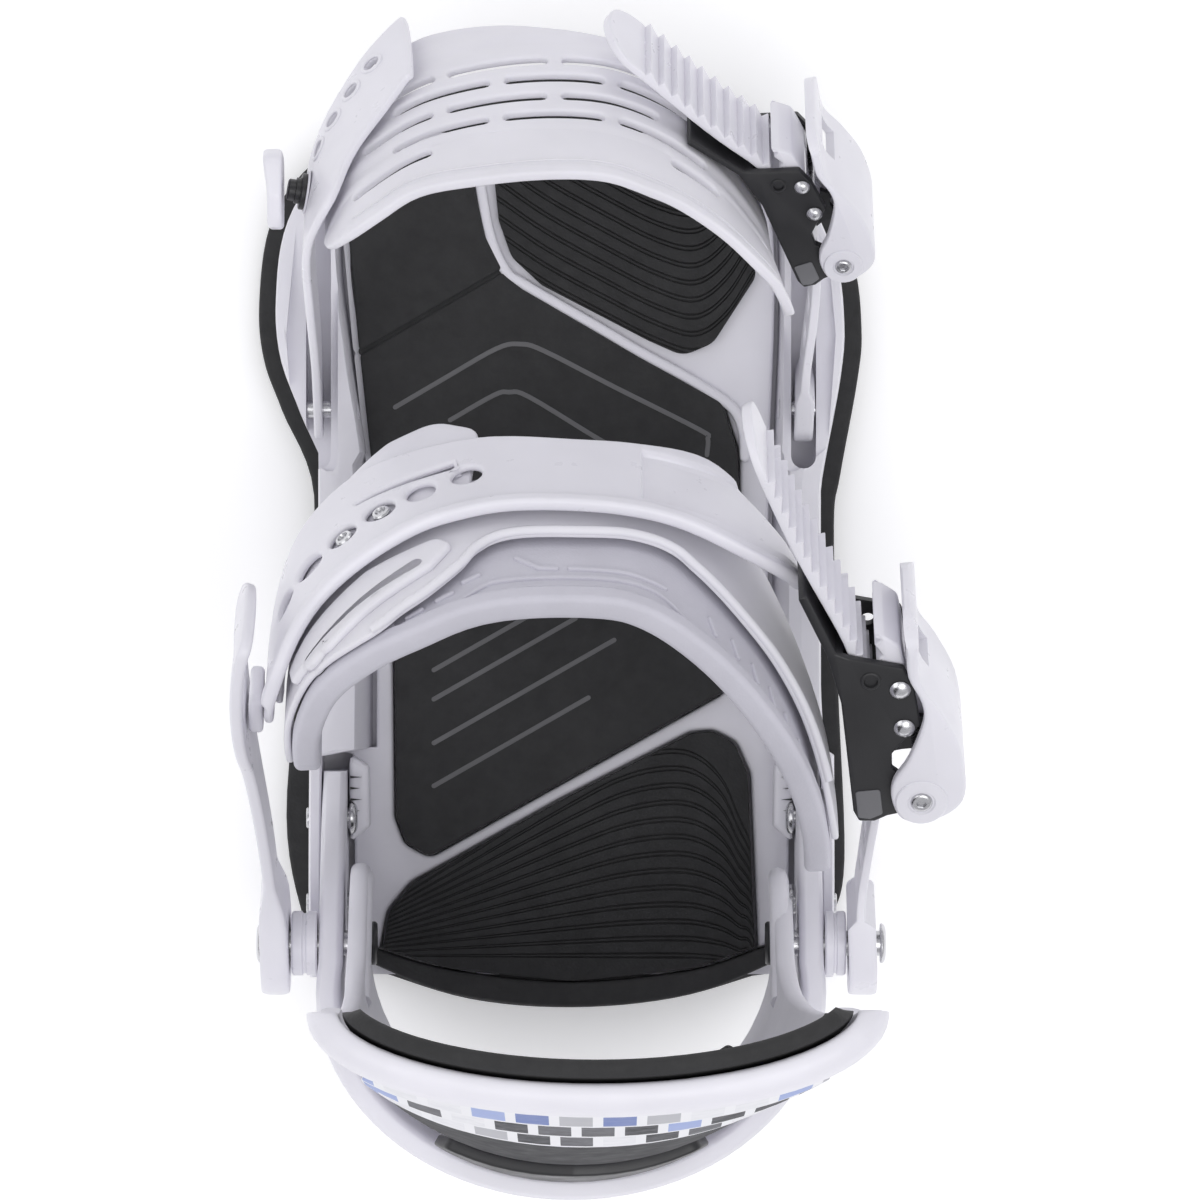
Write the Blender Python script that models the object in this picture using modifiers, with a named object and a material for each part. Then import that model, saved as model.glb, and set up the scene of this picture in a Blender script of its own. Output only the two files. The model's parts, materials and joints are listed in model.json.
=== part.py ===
"""Snowboard binding (one foot). Metres, +Z up, toe towards +Y; the origin is the centre of the
mounting disc on the face that rests on the board."""

import bisect as ordered
import math

import bmesh
import bpy
from mathutils import Matrix, Vector

MM = 0.001
GAP = 0.4  # between pieces that rest on each other, in millimetres as all sizes below

# base
SOLE_T = 5.7  # EVA bushing between base and board
FLOOR_LOW, FLOOR_TOP = 6.0, 9.0
DISC_R, FLANGE_R, FLANGE_LOW, FLANGE_TOP = 39.0, 44.5, 9.4, 12.2
SCREW_PITCH = 40.0  # the usual 4 x 4 cm insert square
FOOTBED_TOP = 18.5
RAIL_INNER = 46.5  # half width between the rails
RAIL_WALL = 58.3  # inner face of the thin wall beside the heel cup arm

# heel cup, straps and highback
PIVOT_Y, PIVOT_Z = -88.0, 48.0
ARM_X, ARM_T = 54.8, 5.6
LOOP_TOP, LOOP_H = 77.0, 24.0
LEAN = math.radians(9.5)
BACK_TOP = 224.0
ANKLE_TILT, TOE_TILT = 55.0, 50.0
TOE_PIVOT_Y, TOE_PIVOT_Z = 35.0, 20.0
TOE_X_L, TOE_X_R = 58.8, 53.9  # centres of the slots the toe strap stands in
LADDER_W = 21.0

WHITE, SHADE = (0.80, 0.79, 0.86), (0.70, 0.69, 0.78)
BLACK, EVA, STEEL = (0.02, 0.02, 0.022), (0.035, 0.035, 0.037), (0.6, 0.6, 0.62)


def clear_scene():
    for old in list(bpy.data.objects):
        bpy.data.objects.remove(old, do_unlink=True)


clear_scene()
PARTS = bpy.data.collections.new("snowboard_binding")
CUTTERS = bpy.data.collections.new("cutters")
for made in (PARTS, CUTTERS):
    bpy.context.scene.collection.children.link(made)
CUTTERS.hide_render = True


# ---- curves and outlines -----------------------------------------------------------------


def catmull(points, steps, closed=False):
    """Smooth line through the points, in any number of dimensions."""
    n = len(points)
    if closed:
        get = lambda i: points[i % n]
    else:
        first = tuple(2 * a - b for a, b in zip(points[0], points[1]))
        last = tuple(2 * a - b for a, b in zip(points[-1], points[-2]))
        get = lambda i: first if i < 0 else last if i >= n else points[i]
    out = []
    for i in range(n if closed else n - 1):
        quad = [get(i + k) for k in (-1, 0, 1, 2)]
        for k in range(steps):
            t = k / steps
            out.append(tuple(
                0.5 * (2 * b + (c - a) * t + (2 * a - 5 * b + 4 * c - d) * t * t
                       + (3 * b - a - 3 * c + d) * t**3)
                for a, b, c, d in zip(*quad)
            ))
    if not closed:
        out.append(tuple(points[-1]))
    return out


def rounded(points, radius, steps=3):
    """Closed outline whose corners are arcs; radius is one number or one for each corner."""
    out, n = [], len(points)
    for i, (x, y) in enumerate(points):
        r = radius[i] if isinstance(radius, (list, tuple)) else radius
        px, py = points[i - 1]
        qx, qy = points[(i + 1) % n]
        ax, ay, bx, by = px - x, py - y, qx - x, qy - y
        la, lb = math.hypot(ax, ay), math.hypot(bx, by)
        ax, ay, bx, by = ax / la, ay / la, bx / lb, by / lb
        half = math.acos(max(-1, min(1, ax * bx + ay * by))) / 2
        if r <= 0 or half > 1.5:
            out.append((x, y))
            continue
        reach = min(r / math.tan(half), 0.48 * la, 0.48 * lb)
        for k in range(steps + 1):
            t = k / steps
            a, b = (1 - t) ** 2, t**2
            out.append((x + reach * (a * ax + b * bx), y + reach * (a * ay + b * by)))
    return out


def circle(cx, cy, r, n=16, ry=None, turn=0.0):
    ry = r if ry is None else ry
    ring = [(r * math.cos(2 * math.pi * k / n), ry * math.sin(2 * math.pi * k / n)) for k in range(n)]
    c, s = math.cos(turn), math.sin(turn)
    return [(cx + c * x - s * y, cy + s * x + c * y) for x, y in ring]


def stadium(x0, y0, x1, y1, r, n=4):
    """Slot outline round the segment from (x0, y0) to (x1, y1)."""
    turn = math.atan2(y1 - y0, x1 - x0)
    out = []
    for cx, cy, start in ((x1, y1, turn - math.pi / 2), (x0, y0, turn + math.pi / 2)):
        out += [(cx + r * math.cos(start + math.pi * k / n), cy + r * math.sin(start + math.pi * k / n))
                for k in range(n + 1)]
    return out


def along(table, at):
    """Value at a station, in straight lines between the entries of a short table."""
    keys = [k for k, _ in table]
    i = ordered.bisect_right(keys, at)
    if i == 0:
        return table[0][1]
    if i == len(table):
        return table[-1][1]
    (a, va), (b, vb) = table[i - 1], table[i]
    return va + (vb - va) * (at - a) / (b - a)


# ---- solids -----------------------------------------------------------------------------


def material(name, colour, metal=0.0, rough=0.5):
    found = bpy.data.materials.get(name)
    if found:
        return found
    made = bpy.data.materials.new(name)
    made.use_nodes = True
    shader = made.node_tree.nodes["Principled BSDF"]
    shader.inputs["Base Color"].default_value = (*colour, 1)
    shader.inputs["Metallic"].default_value = metal
    shader.inputs["Roughness"].default_value = rough
    made.diffuse_color = (*colour, 1)
    return made


def node_from(name, bm, colour, metal=0.0, rough=0.5, cutter=False):
    bmesh.ops.remove_doubles(bm, verts=bm.verts, dist=1e-6)
    bmesh.ops.recalc_face_normals(bm, faces=bm.faces)
    if bm.calc_volume(signed=True) < 0:
        bmesh.ops.reverse_faces(bm, faces=bm.faces)
    mesh = bpy.data.meshes.new(name)
    bm.to_mesh(mesh)
    bm.free()
    mesh.shade_smooth()
    mesh.set_sharp_from_angle(angle=math.radians(35))
    return linked(name, mesh, colour, metal, rough, cutter)


def linked(name, mesh, colour, metal=0.0, rough=0.5, cutter=False):
    made = bpy.data.objects.new(name, mesh)
    (CUTTERS if cutter else PARTS).objects.link(made)
    if cutter:
        made.hide_render = True
        made.display_type = "WIRE"
    else:
        made.data.materials.append(material(name, colour, metal, rough))
    return made


def flat_mesh(outline, holes=()):
    """One closed plate of unit thickness about z = 0, in millimetres, with holes through it."""
    curve = bpy.data.curves.new("outline", "CURVE")
    curve.dimensions = "2D"
    curve.fill_mode = "BOTH"
    curve.extrude = 0.5
    for ring in (outline, *holes):
        line = curve.splines.new("POLY")
        line.points.add(len(ring) - 1)
        for point, (x, y) in zip(line.points, ring):
            point.co = (x, y, 0, 1)
        line.use_cyclic_u = True
    holder = bpy.data.objects.new("outline", curve)
    PARTS.objects.link(holder)
    graph = bpy.context.evaluated_depsgraph_get()
    mesh = bpy.data.meshes.new_from_object(holder.evaluated_get(graph))
    bm = bmesh.new()
    bm.from_mesh(mesh)
    bpy.data.objects.remove(holder, do_unlink=True)
    bpy.data.curves.remove(curve)
    bpy.data.meshes.remove(mesh)
    bmesh.ops.remove_doubles(bm, verts=bm.verts, dist=1e-4)
    return bm


def bent(name, outline, place, low, high, colour, holes=(), cuts=(), across=(), **look):
    """Plate drawn flat in (s, w), cut at stations and bent by place(s, w, n).
    low and high give n on its two faces, as numbers or as functions of (s, w)."""
    bm = flat_mesh(outline, holes)
    for stations, axis in ((cuts, 0), (across, 1)):
        for at in stations:
            co, no = [0, 0, 0], [0, 0, 0]
            co[axis], no[axis] = at, 1
            geom = bm.verts[:] + bm.edges[:] + bm.faces[:]
            bmesh.ops.bisect_plane(bm, geom=geom, dist=1e-4, plane_co=co, plane_no=no)
    bmesh.ops.triangulate(bm, faces=bm.faces)
    for vert in bm.verts:
        s, w, side = vert.co
        level = high if side > 0 else low
        n = level(s, w) if callable(level) else level
        vert.co = [MM * v for v in place(s, w, n)]
    return node_from(name, bm, colour, **look)


def flat(name, outline, z0, z1, colour, holes=(), **look):
    return bent(name, outline, lambda s, w, n: (s, w, n), z0, z1, colour, holes, **look)


def loft(name, rings, colour, **look):
    """Closed rings of equal length joined in order, with flat ends."""
    bm = bmesh.new()
    rows = [[bm.verts.new([MM * v for v in p]) for p in ring] for ring in rings]
    n = len(rows[0])
    for a, b in zip(rows, rows[1:]):
        for i in range(n):
            bm.faces.new((a[i], a[(i + 1) % n], b[(i + 1) % n], b[i]))
    ends = [bm.faces.new(rows[0]), bm.faces.new(rows[-1][::-1])]
    bmesh.ops.triangulate(bm, faces=ends)
    return node_from(name, bm, colour, **look)


def turned(name, start, end, radii, colour, n=16, hole=0.0, depth=0.0, **look):
    """Round piece from start to end: radii is a list of (fraction of the length, radius), and a
    hole of this radius and depth is sunk in the far end."""
    start, end = Vector(start) * MM, Vector(end) * MM
    length = (end - start).length
    profile = [(0, 0)] + [(r * MM, f * length) for f, r in radii]
    if hole:
        profile += [(hole * MM, length), (hole * MM, length - depth * MM), (0, length - depth * MM)]
    else:
        profile.append((0, length))
    mesh = bpy.data.meshes.new(name)
    points = [(x, 0, z) for x, z in reversed(profile)]
    mesh.from_pydata(points, [(i, i + 1) for i in range(len(points) - 1)], [])
    made = linked(name, mesh, colour, **look)
    spin = made.modifiers.new("turn", "SCREW")
    spin.steps = spin.render_steps = n
    spin.use_merge_vertices = True
    spin.merge_threshold = 1e-6
    made.location = start
    made.rotation_mode = "QUATERNION"
    made.rotation_quaternion = (end - start).to_track_quat("Z", "Y")
    return made


def boolean(target, cutter, operation="DIFFERENCE"):
    step = target.modifiers.new(cutter.name, "BOOLEAN")
    step.object = cutter
    step.operation = operation
    step.solver = "EXACT"
    return target


# ---- frames of the two straps -------------------------------------------------------------


class Strap:
    """A strap lies along a path in a plane leaning forward about its pivot. s runs along the path
    from its top (+s to the buckle side), w across the strap towards the heel, n outwards."""

    def __init__(self, path, pivot_y, pivot_z, tilt, steps=10):
        self.line = catmull(path, steps)
        self.y0, self.z0 = pivot_y, pivot_z
        self.sin, self.cos = math.sin(math.radians(tilt)), math.cos(math.radians(tilt))
        self.reach = [0.0]
        for a, b in zip(self.line, self.line[1:]):
            self.reach.append(self.reach[-1] + math.dist(a, b))
        top = min(range(len(self.line)), key=lambda i: abs(self.line[i][0]) + (self.line[i][1] < 55) * 999)
        zero = self.reach[top]
        self.reach = [v - zero for v in self.reach]

    def tilted(self, x, h, w):
        return (x, self.y0 + h * self.sin - w * self.cos, self.z0 + h * self.cos + w * self.sin)

    def point(self, s):
        i = max(1, min(len(self.reach) - 1, ordered.bisect_right(self.reach, s)))
        a, b = self.reach[i - 1], self.reach[i]
        t = (s - a) / (b - a)
        return [p + (q - p) * t for p, q in zip(self.line[i - 1], self.line[i])]

    def normal(self, s):
        (ax, ah), (bx, bh) = self.point(s - 1.5), self.point(s + 1.5)
        size = math.hypot(bx - ax, bh - ah)
        return -(bh - ah) / size, (bx - ax) / size

    def place(self, s, w, n):
        x, h = self.point(s)
        nx, nh = self.normal(s)
        return self.tilted(x + n * nx, h + n * nh, w)


def stations(low, high, step):
    count = max(1, round((high - low) / step))
    return [low + (high - low) * k / count for k in range(1, count)]


# ---- base -------------------------------------------------------------------------------

OUTER_L = [(-104, -40), (-96, -57), (-84, -63), (-60, -67), (-20, -63.5), (15, -60.5), (35, -68),
           (47, -72.3), (60, -73.4), (78, -71), (91, -63), (102, -48), (109, -32)]
OUTER_R = [(-104, 40), (-96, 55), (-84, 61), (-70, 64), (-30, 62.5), (8, 61.5), (20, 63),
           (42, 67), (54, 68), (70, 66), (86, 58), (99, 45), (108, 31)]


def sole_outline():
    left = catmull([(x, y) for y, x in OUTER_L[1:]], 3)
    right = catmull([(x, y) for y, x in OUTER_R[1:]], 3)[::-1]
    toe = [(16, 112.5), (0, 113.5), (-16, 112.5)]
    heel = catmull([(46, -96.5), (24, -102.8), (0, -105), (-24, -103), (-47, -96)], 3)
    return left + toe[::-1] + right + heel[1:-1]


def make_base():
    hole = circle(0, 0, DISC_R + 1.4, 32)
    flat("base_bushing", sole_outline(), 0, SOLE_T, EVA, [hole], rough=0.9)

    step = -45.6  # behind it the rail is a thin outer wall, with the heel cup arm inside it
    ys = [-97, -95, -84, -70, step, step + 2, -20, 5, 20, 35, 48, 62, 76, 90, 100]
    rings = []
    for y in ys:
        heel = y <= step
        if heel:
            left, right = -RAIL_WALL - 3.0, RAIL_WALL + 3.0
        else:
            left = min(-RAIL_WALL - 1, along(OUTER_L, y) + 4.2)
            right = max(RAIL_WALL, along(OUTER_R, y) - 4.2)
        if y > 85:
            left, right = along(OUTER_L, y) + 5, along(OUTER_R, y) - 5
        top = along([(-97, 24), (-84, 34), (-60, 34), (-47, 30), (-20, 25), (20, 24), (48, 26),
                     (80, 22), (90, 17), (100, 13)], y)
        foot_l = along([(-46, -46.5), (20, -47), (48, -51), (76, -53.4), (90, -47), (100, -38)], y)
        foot_r = along([(-46, 46.5), (20, 47), (76, 48), (90, 43), (100, 36)], y)
        inner_l, inner_r = foot_l - 1.8, foot_r + 1.8
        if heel:
            foot_l, foot_r, inner_l, inner_r = -RAIL_WALL + 0.4, RAIL_WALL - 0.4, -RAIL_WALL, RAIL_WALL
        elif y < 25:
            inner_l, inner_r = inner_l - 2, inner_r + 2
        rings.append([
            (left + 0.8, y, FLOOR_LOW), (left, y, FLOOR_LOW + 2), (left + 0.6, y, top - 2),
            (left + (1.1 if heel else 2.2), y, top), (inner_l, y, top),
            (foot_l, y, FLOOR_TOP + 0.3), (foot_l + 1.2, y, FLOOR_TOP),
            (foot_r - 1.2, y, FLOOR_TOP), (foot_r, y, FLOOR_TOP + 0.3), (inner_r, y, top),
            (right - (1.1 if heel else 2.2), y, top), (right - 0.6, y, top - 2),
            (right, y, FLOOR_LOW + 2), (right - 0.8, y, FLOOR_LOW),
        ])
    base = loft("baseplate", rings, WHITE, rough=0.35)
    boolean(base, flat("disc_bore", hole, 0, 20, WHITE, cutter=True))
    for side in (-1, 1):
        # slot for the toe strap connector, open at the top, and its pivot pin bore
        x = TOE_X_L if side < 0 else TOE_X_R
        slot = stadium(side * x, 24, side * x, 84, 2.9, 3)
        boolean(base, flat(f"toe_slot_{side}", slot, 10.5, 60, WHITE, cutter=True))
        boolean(base, turned(f"toe_bore_{side}", (side * 44, TOE_PIVOT_Y, TOE_PIVOT_Z),
                             (side * 75, TOE_PIVOT_Y, TOE_PIVOT_Z), [(0, 2.4), (1, 2.4)], WHITE,
                             n=12, cutter=True))
        for y in (-60, -80):
            boolean(base, turned(f"arm_bore_{side}_{y}", (side * 40, y, 22), (side * 75, y, 22),
                                 [(0, 2.9), (1, 2.9)], WHITE, n=12, cutter=True))

    # mounting disc: a plug through base and bushing, with a flange that clamps the floor
    rim = [(0, DISC_R - 0.8), (0.8, DISC_R), (FLANGE_LOW, DISC_R), (FLANGE_LOW, FLANGE_R),
           (FLANGE_TOP - 0.8, FLANGE_R), (FLANGE_TOP, FLANGE_R - 0.8)]
    disc = turned("mounting_disc", (0, 0, 0), (0, 0, FLANGE_TOP), [(z / FLANGE_TOP, r) for z, r in rim],
                  SHADE, n=32, rough=0.4)
    half = SCREW_PITCH / 2
    for i, (x, y) in enumerate(((half, half), (-half, half), (-half, -half), (half, -half))):
        slot = stadium(x - 4, y, x + 4, y, 3.3, 4)
        boolean(disc, flat(f"disc_slot_{i}", slot, -1, 20, SHADE, cutter=True))
        wide = stadium(x - 4, y, x + 4, y, 6.6, 4)
        boolean(disc, flat(f"disc_seat_{i}", wide, 8.4, 20, SHADE, cutter=True))
        turned(f"disc_screw_{i + 1}", (x, y, 0.5), (x, y, 12), [(0, 2.6), (0.04, 2.95), (0.72, 2.95),
               (0.721, 5.6), (0.93, 5.6), (1, 5.0)], STEEL, n=14, hole=2.2, depth=2.2, metal=1.0, rough=0.3)

    # footbed pads: glued on the floor, hollow over the disc
    dome = circle(0, 0, FLANGE_R + 1.0, 32)
    toe_right = rounded([(-19, 98), (-17, 79), (-14, 70.5), (-7, 64), (18, 51), (26, 47.5), (33, 50.5),
                         (43, 66), (39, 88), (28, 99)], [3, 4, 6, 6, 8, 6, 6, 4, 6, 5], 2)
    toe_left = rounded([(-52, 76), (-44, 90), (-34, 97), (-23, 99), (-22.5, 86), (-20, 75), (-16.2, 67.8),
                        (-49.5, 48.4)], [4, 6, 6, 2, 2, 2, 1, 1], 2)
    mid = rounded([(-49.3, 47.6), (-16.2, 66.8), (-11.5, 63), (16, 47), (35, 36.5), (38.7, 25), (39, -20),
                   (35, -31), (-33, -69), (-38.5, -66), (-40.8, -60), (-41.2, -20), (-47, 26)],
                  [1, 1, 3, 4, 4, 4, 4, 3, 3, 3, 3, 6, 6], 2)
    heel = rounded([(-44, -91.5), (-42.5, -82), (-37, -75.5), (-3, -56.5), (28, -40.6), (33, -40.2),
                    (38, -43), (41, -50), (42.6, -91), (28, -98.6), (0, -102.6), (-28, -98.6)],
                   [1, 5, 5, 6, 3, 3, 4, 4, 1, 12, 20, 12], 2)
    for name, ring, hollow in (("toe_pad_right", toe_right, False), ("toe_pad_left", toe_left, False),
                               ("disc_cover_pad", mid, True), ("heel_pad", heel, True)):
        pad = flat(name, ring, FLOOR_TOP + GAP, FOOTBED_TOP, EVA, rough=0.9)
        if hollow:
            cut = flat(name + "_hollow", dome, 0, FLANGE_TOP + GAP, EVA, cutter=True)
            boolean(pad, cut)

    for side, name in ((-1, "left"), (1, "right")):
        outer = 66.5 if side < 0 else 60.5
        turned(f"toe_pivot_pin_{name}", (side * (52.0 if side < 0 else 48.6), TOE_PIVOT_Y, TOE_PIVOT_Z),
               (side * outer, TOE_PIVOT_Y, TOE_PIVOT_Z), [(0, 2.0), (1, 2.0)], STEEL, n=12, metal=1.0)


# ---- heel cup ----------------------------------------------------------------------------


def heel_path(t):
    """Plan of the heel cup band, t from 0 (left arm end) to 1: x, y and the outward direction."""
    straight, bend_y, depth = 0.27, -92.0, 47.0
    if t < straight or t > 1 - straight:
        side = -1 if t < 0.5 else 1
        u = (t if t < 0.5 else 1 - t) / straight
        return side * ARM_X, -49.0 + (bend_y + 49.0) * u, side, 0.0
    a = math.pi * (t - straight) / (1 - 2 * straight)
    c, s = math.cos(a), math.sin(a)
    ox, oy = -depth * c, -(ARM_X + 2.2) * s
    size = math.hypot(ox, oy)
    return -(ARM_X + 2.2 * s) * c, bend_y - depth * s, ox / size, oy / size


def make_heel_cup():
    rings = []
    ts = [0, 0.04, 0.15, 0.25] + [0.27 + 0.46 * k / 20 for k in range(21)] + [0.75, 0.85, 0.96, 1]
    for t in ts:
        x, y, ox, oy = heel_path(t)
        top = along([(-139, LOOP_TOP), (-120, 71), (-100, 63), (-84, 57), (-72, 50), (-60, 41), (-49, 31)], y)
        bottom = along([(-139, LOOP_TOP - LOOP_H), (-120, 45), (-105, 33), (-92, 20), (-82, 11.5)], y)
        flare = along([(-139, 3.2), (-105, 1.5), (-92, 0)], y)  # the band leans out at its top
        h = ARM_T / 2
        rings.append([
            (x - ox * h, y - oy * h, bottom), (x + ox * h, y + oy * h, bottom),
            (x + ox * (h + flare), y + oy * (h + flare), top - 6),
            (x + ox * (h + flare - 0.8), y + oy * (h + flare - 0.8), top - 0.6),
            (x + ox * (h + flare - 2), y + oy * (h + flare - 2), top),
            (x - ox * (h - flare), y - oy * (h - flare), top - 1),
        ])
    cup = loft("heelcup", rings, WHITE, rough=0.3)
    for side, name in ((-1, "left"), (1, "right")):
        for number, y in ((1, -60), (2, -80)):
            slot = stadium(y - 3, 22, y + 3, 22, 3.1, 4)
            boolean(cup, bent(f"arm_slot_{name}_{number}", slot, lambda s, w, n: (n, s, w), side * 40,
                              side * 70, WHITE, cutter=True))
            turned(f"heelcup_bolt_{name}_{number}", (side * 49.6, y, 22), (side * 61.6, y, 22),
                   [(0, 4.2), (0.03, 4.6), (0.16, 4.6), (0.16, 2.5), (1, 2.5)], STEEL, n=12, metal=1.0)
        boolean(cup, turned(f"cup_bore_{name}", (side * 40, PIVOT_Y, PIVOT_Z),
                            (side * 80, PIVOT_Y, PIVOT_Z), [(0, 3.3), (1, 3.3)], WHITE, n=14,
                            cutter=True))
    return cup


# ---- highback -----------------------------------------------------------------------------


def back_place(u, z, n):
    """Highback shell: u from -100 to 100 goes round from the left wing to the right, z is height
    and n is out from the outer face."""
    clear_of_cup = along([(40, -133.4), (55, -134.0), (80, -136.9)], z)
    rear = max(-113 - (BACK_TOP - z) * math.tan(LEAN), clear_of_cup)
    width = along([(60, 50.4), (80, 50.6), (115, 53.5), (150, 56.5), (200, 58.5), (230, 57.5)], z)
    depth = along([(60, 45), (80, 44), (120, 36), (160, 27), (190, 22), (230, 20)], z)
    ahead = along([(60, 18), (95, 17), (130, 8), (160, 2), (190, 0)], z)
    centre = along([(80, 0), (200, 6), (230, 6)], z)
    q = 74.0
    side = 1 if u > 0 else -1
    a = math.pi / 2 * min(abs(u), q) / q
    x, y = width * math.sin(a), rear + depth * (1 - math.cos(a))
    nx, ny = depth * math.sin(a), -width * math.cos(a)
    size = math.hypot(nx, ny)
    if abs(u) > q:
        y += ahead * (abs(u) - q) / (100 - q)
    return centre + side * (x + n * nx / size), y + n * ny / size, z


def make_highback():
    us = stations(-100, 100, 200 / 14)
    zs = (60, 80, 95, 120, 150, 190)
    left = [(-99, 40), (-100, 54), (-92, 64), (-78, 78), (-70, 94), (-67, 125), (-70, 152), (-82, 172),
            (-91, 184), (-80, 200), (-60, 212), (-30, 221), (0, 224)]
    right = [(30, 222), (60, 216), (80, 206), (92, 191), (84, 174), (71, 154), (67, 125), (70, 94),
             (78, 78), (88, 64), (91, 54), (88, 40)]
    low = [(74, 38), (62, 42), (40, 52), (0, 58), (-40, 52), (-62, 42), (-78, 38)]
    bores = [circle(side * 75.4, PIVOT_Z, 4.4, 10, 3.3) for side in (-1, 1)]
    bent("highback", left + right + low, back_place, -4.2, 0, WHITE, holes=bores,
         cuts=us, across=zs, rough=0.35)
    inner = [(-44, 64), (-50, 90), (-52, 140), (-60, 172), (-86, 178), (-91, 185), (-78, 201), (-58, 213),
             (-30, 222), (0, 225), (30, 223), (58, 217), (78, 206), (91, 190), (86, 180), (60, 174),
             (52, 140), (50, 90), (44, 64), (20, 71), (0, 73), (-20, 71)]
    bent("highback_pad", inner, back_place, -9.0, -5.2, BLACK,
         cuts=us, across=zs, rough=0.9)
    panel = [(-38, 114), (-44, 160), (-46, 192), (-36, 204), (0, 211), (36, 206), (46, 195), (44, 160),
             (38, 114), (24, 106), (0, 104), (-24, 106)]
    bent("highback_rear_panel", panel, back_place, 0.6, 1.6, BLACK, cuts=us, across=zs,
         rough=0.4)
    block = rounded([(-30, 82), (-26, 92), (0, 96), (26, 92), (30, 82), (0, 81)], 3, 1)
    bent("forward_lean_block", block, back_place, 0.6, 3.4, BLACK, cuts=us, rough=0.6)


# ---- straps -------------------------------------------------------------------------------

ANKLE = Strap([(-59, 34), (-60.6, 48), (-61.6, 62), (-61, 76), (-56.2, 89), (-46.8, 98), (-35.5, 103.7),
               (-18, 108.5), (0, 109.7), (15, 108.2), (27.5, 102.5), (38.5, 93), (47.5, 80), (54, 65),
               (57.5, 49), (58.5, 34)], PIVOT_Y, PIVOT_Z, ANKLE_TILT, 6)
ANKLE_ARM = Strap([(-67.6, -10), (-67.6, 0), (-68, 14), (-69.4, 32), (-71.6, 50), (-73.6, 64),
                   (-74.2, 76), (-73, 88), (-69, 98)], PIVOT_Y, PIVOT_Z, ANKLE_TILT, 4)
ANKLE_LADDER = Strap([(38.8, 141), (43, 130), (49.5, 115), (56.5, 101), (62.8, 87), (66, 73), (68.4, 58),
                      (69.4, 44), (67.6, 28), (66.2, 14), (66.6, 0), (66.6, -10)],
                     PIVOT_Y, PIVOT_Z, ANKLE_TILT, 4)
TOE = Strap([(-54.5, 44), (-55.5, 58), (-51, 70), (-43.5, 77), (-33, 83), (-18, 86.5), (-3, 87.5),
             (10, 86), (22, 80.5), (32.5, 72), (40, 62), (44, 54), (47, 44)],
            TOE_PIVOT_Y, TOE_PIVOT_Z, TOE_TILT, 6)
TOE_ARM = Strap([(-TOE_X_L, -8), (-TOE_X_L, 0), (-59, 18), (-59.8, 36), (-60, 54), (-56.6, 68),
                 (-48.5, 78), (-39, 85)], TOE_PIVOT_Y, TOE_PIVOT_Z, TOE_TILT, 4)
TOE_LADDER = Strap([(8, 100.5), (18, 92.8), (30, 83), (38, 77), (44.4, 71), (48.8, 62), (52.8, 51),
                    (56.4, 40), (56.2, 28), (54.6, 14), (TOE_X_R, 0), (TOE_X_R, -8)],
                   TOE_PIVOT_Y, TOE_PIVOT_Z, TOE_TILT, 4)


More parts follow.
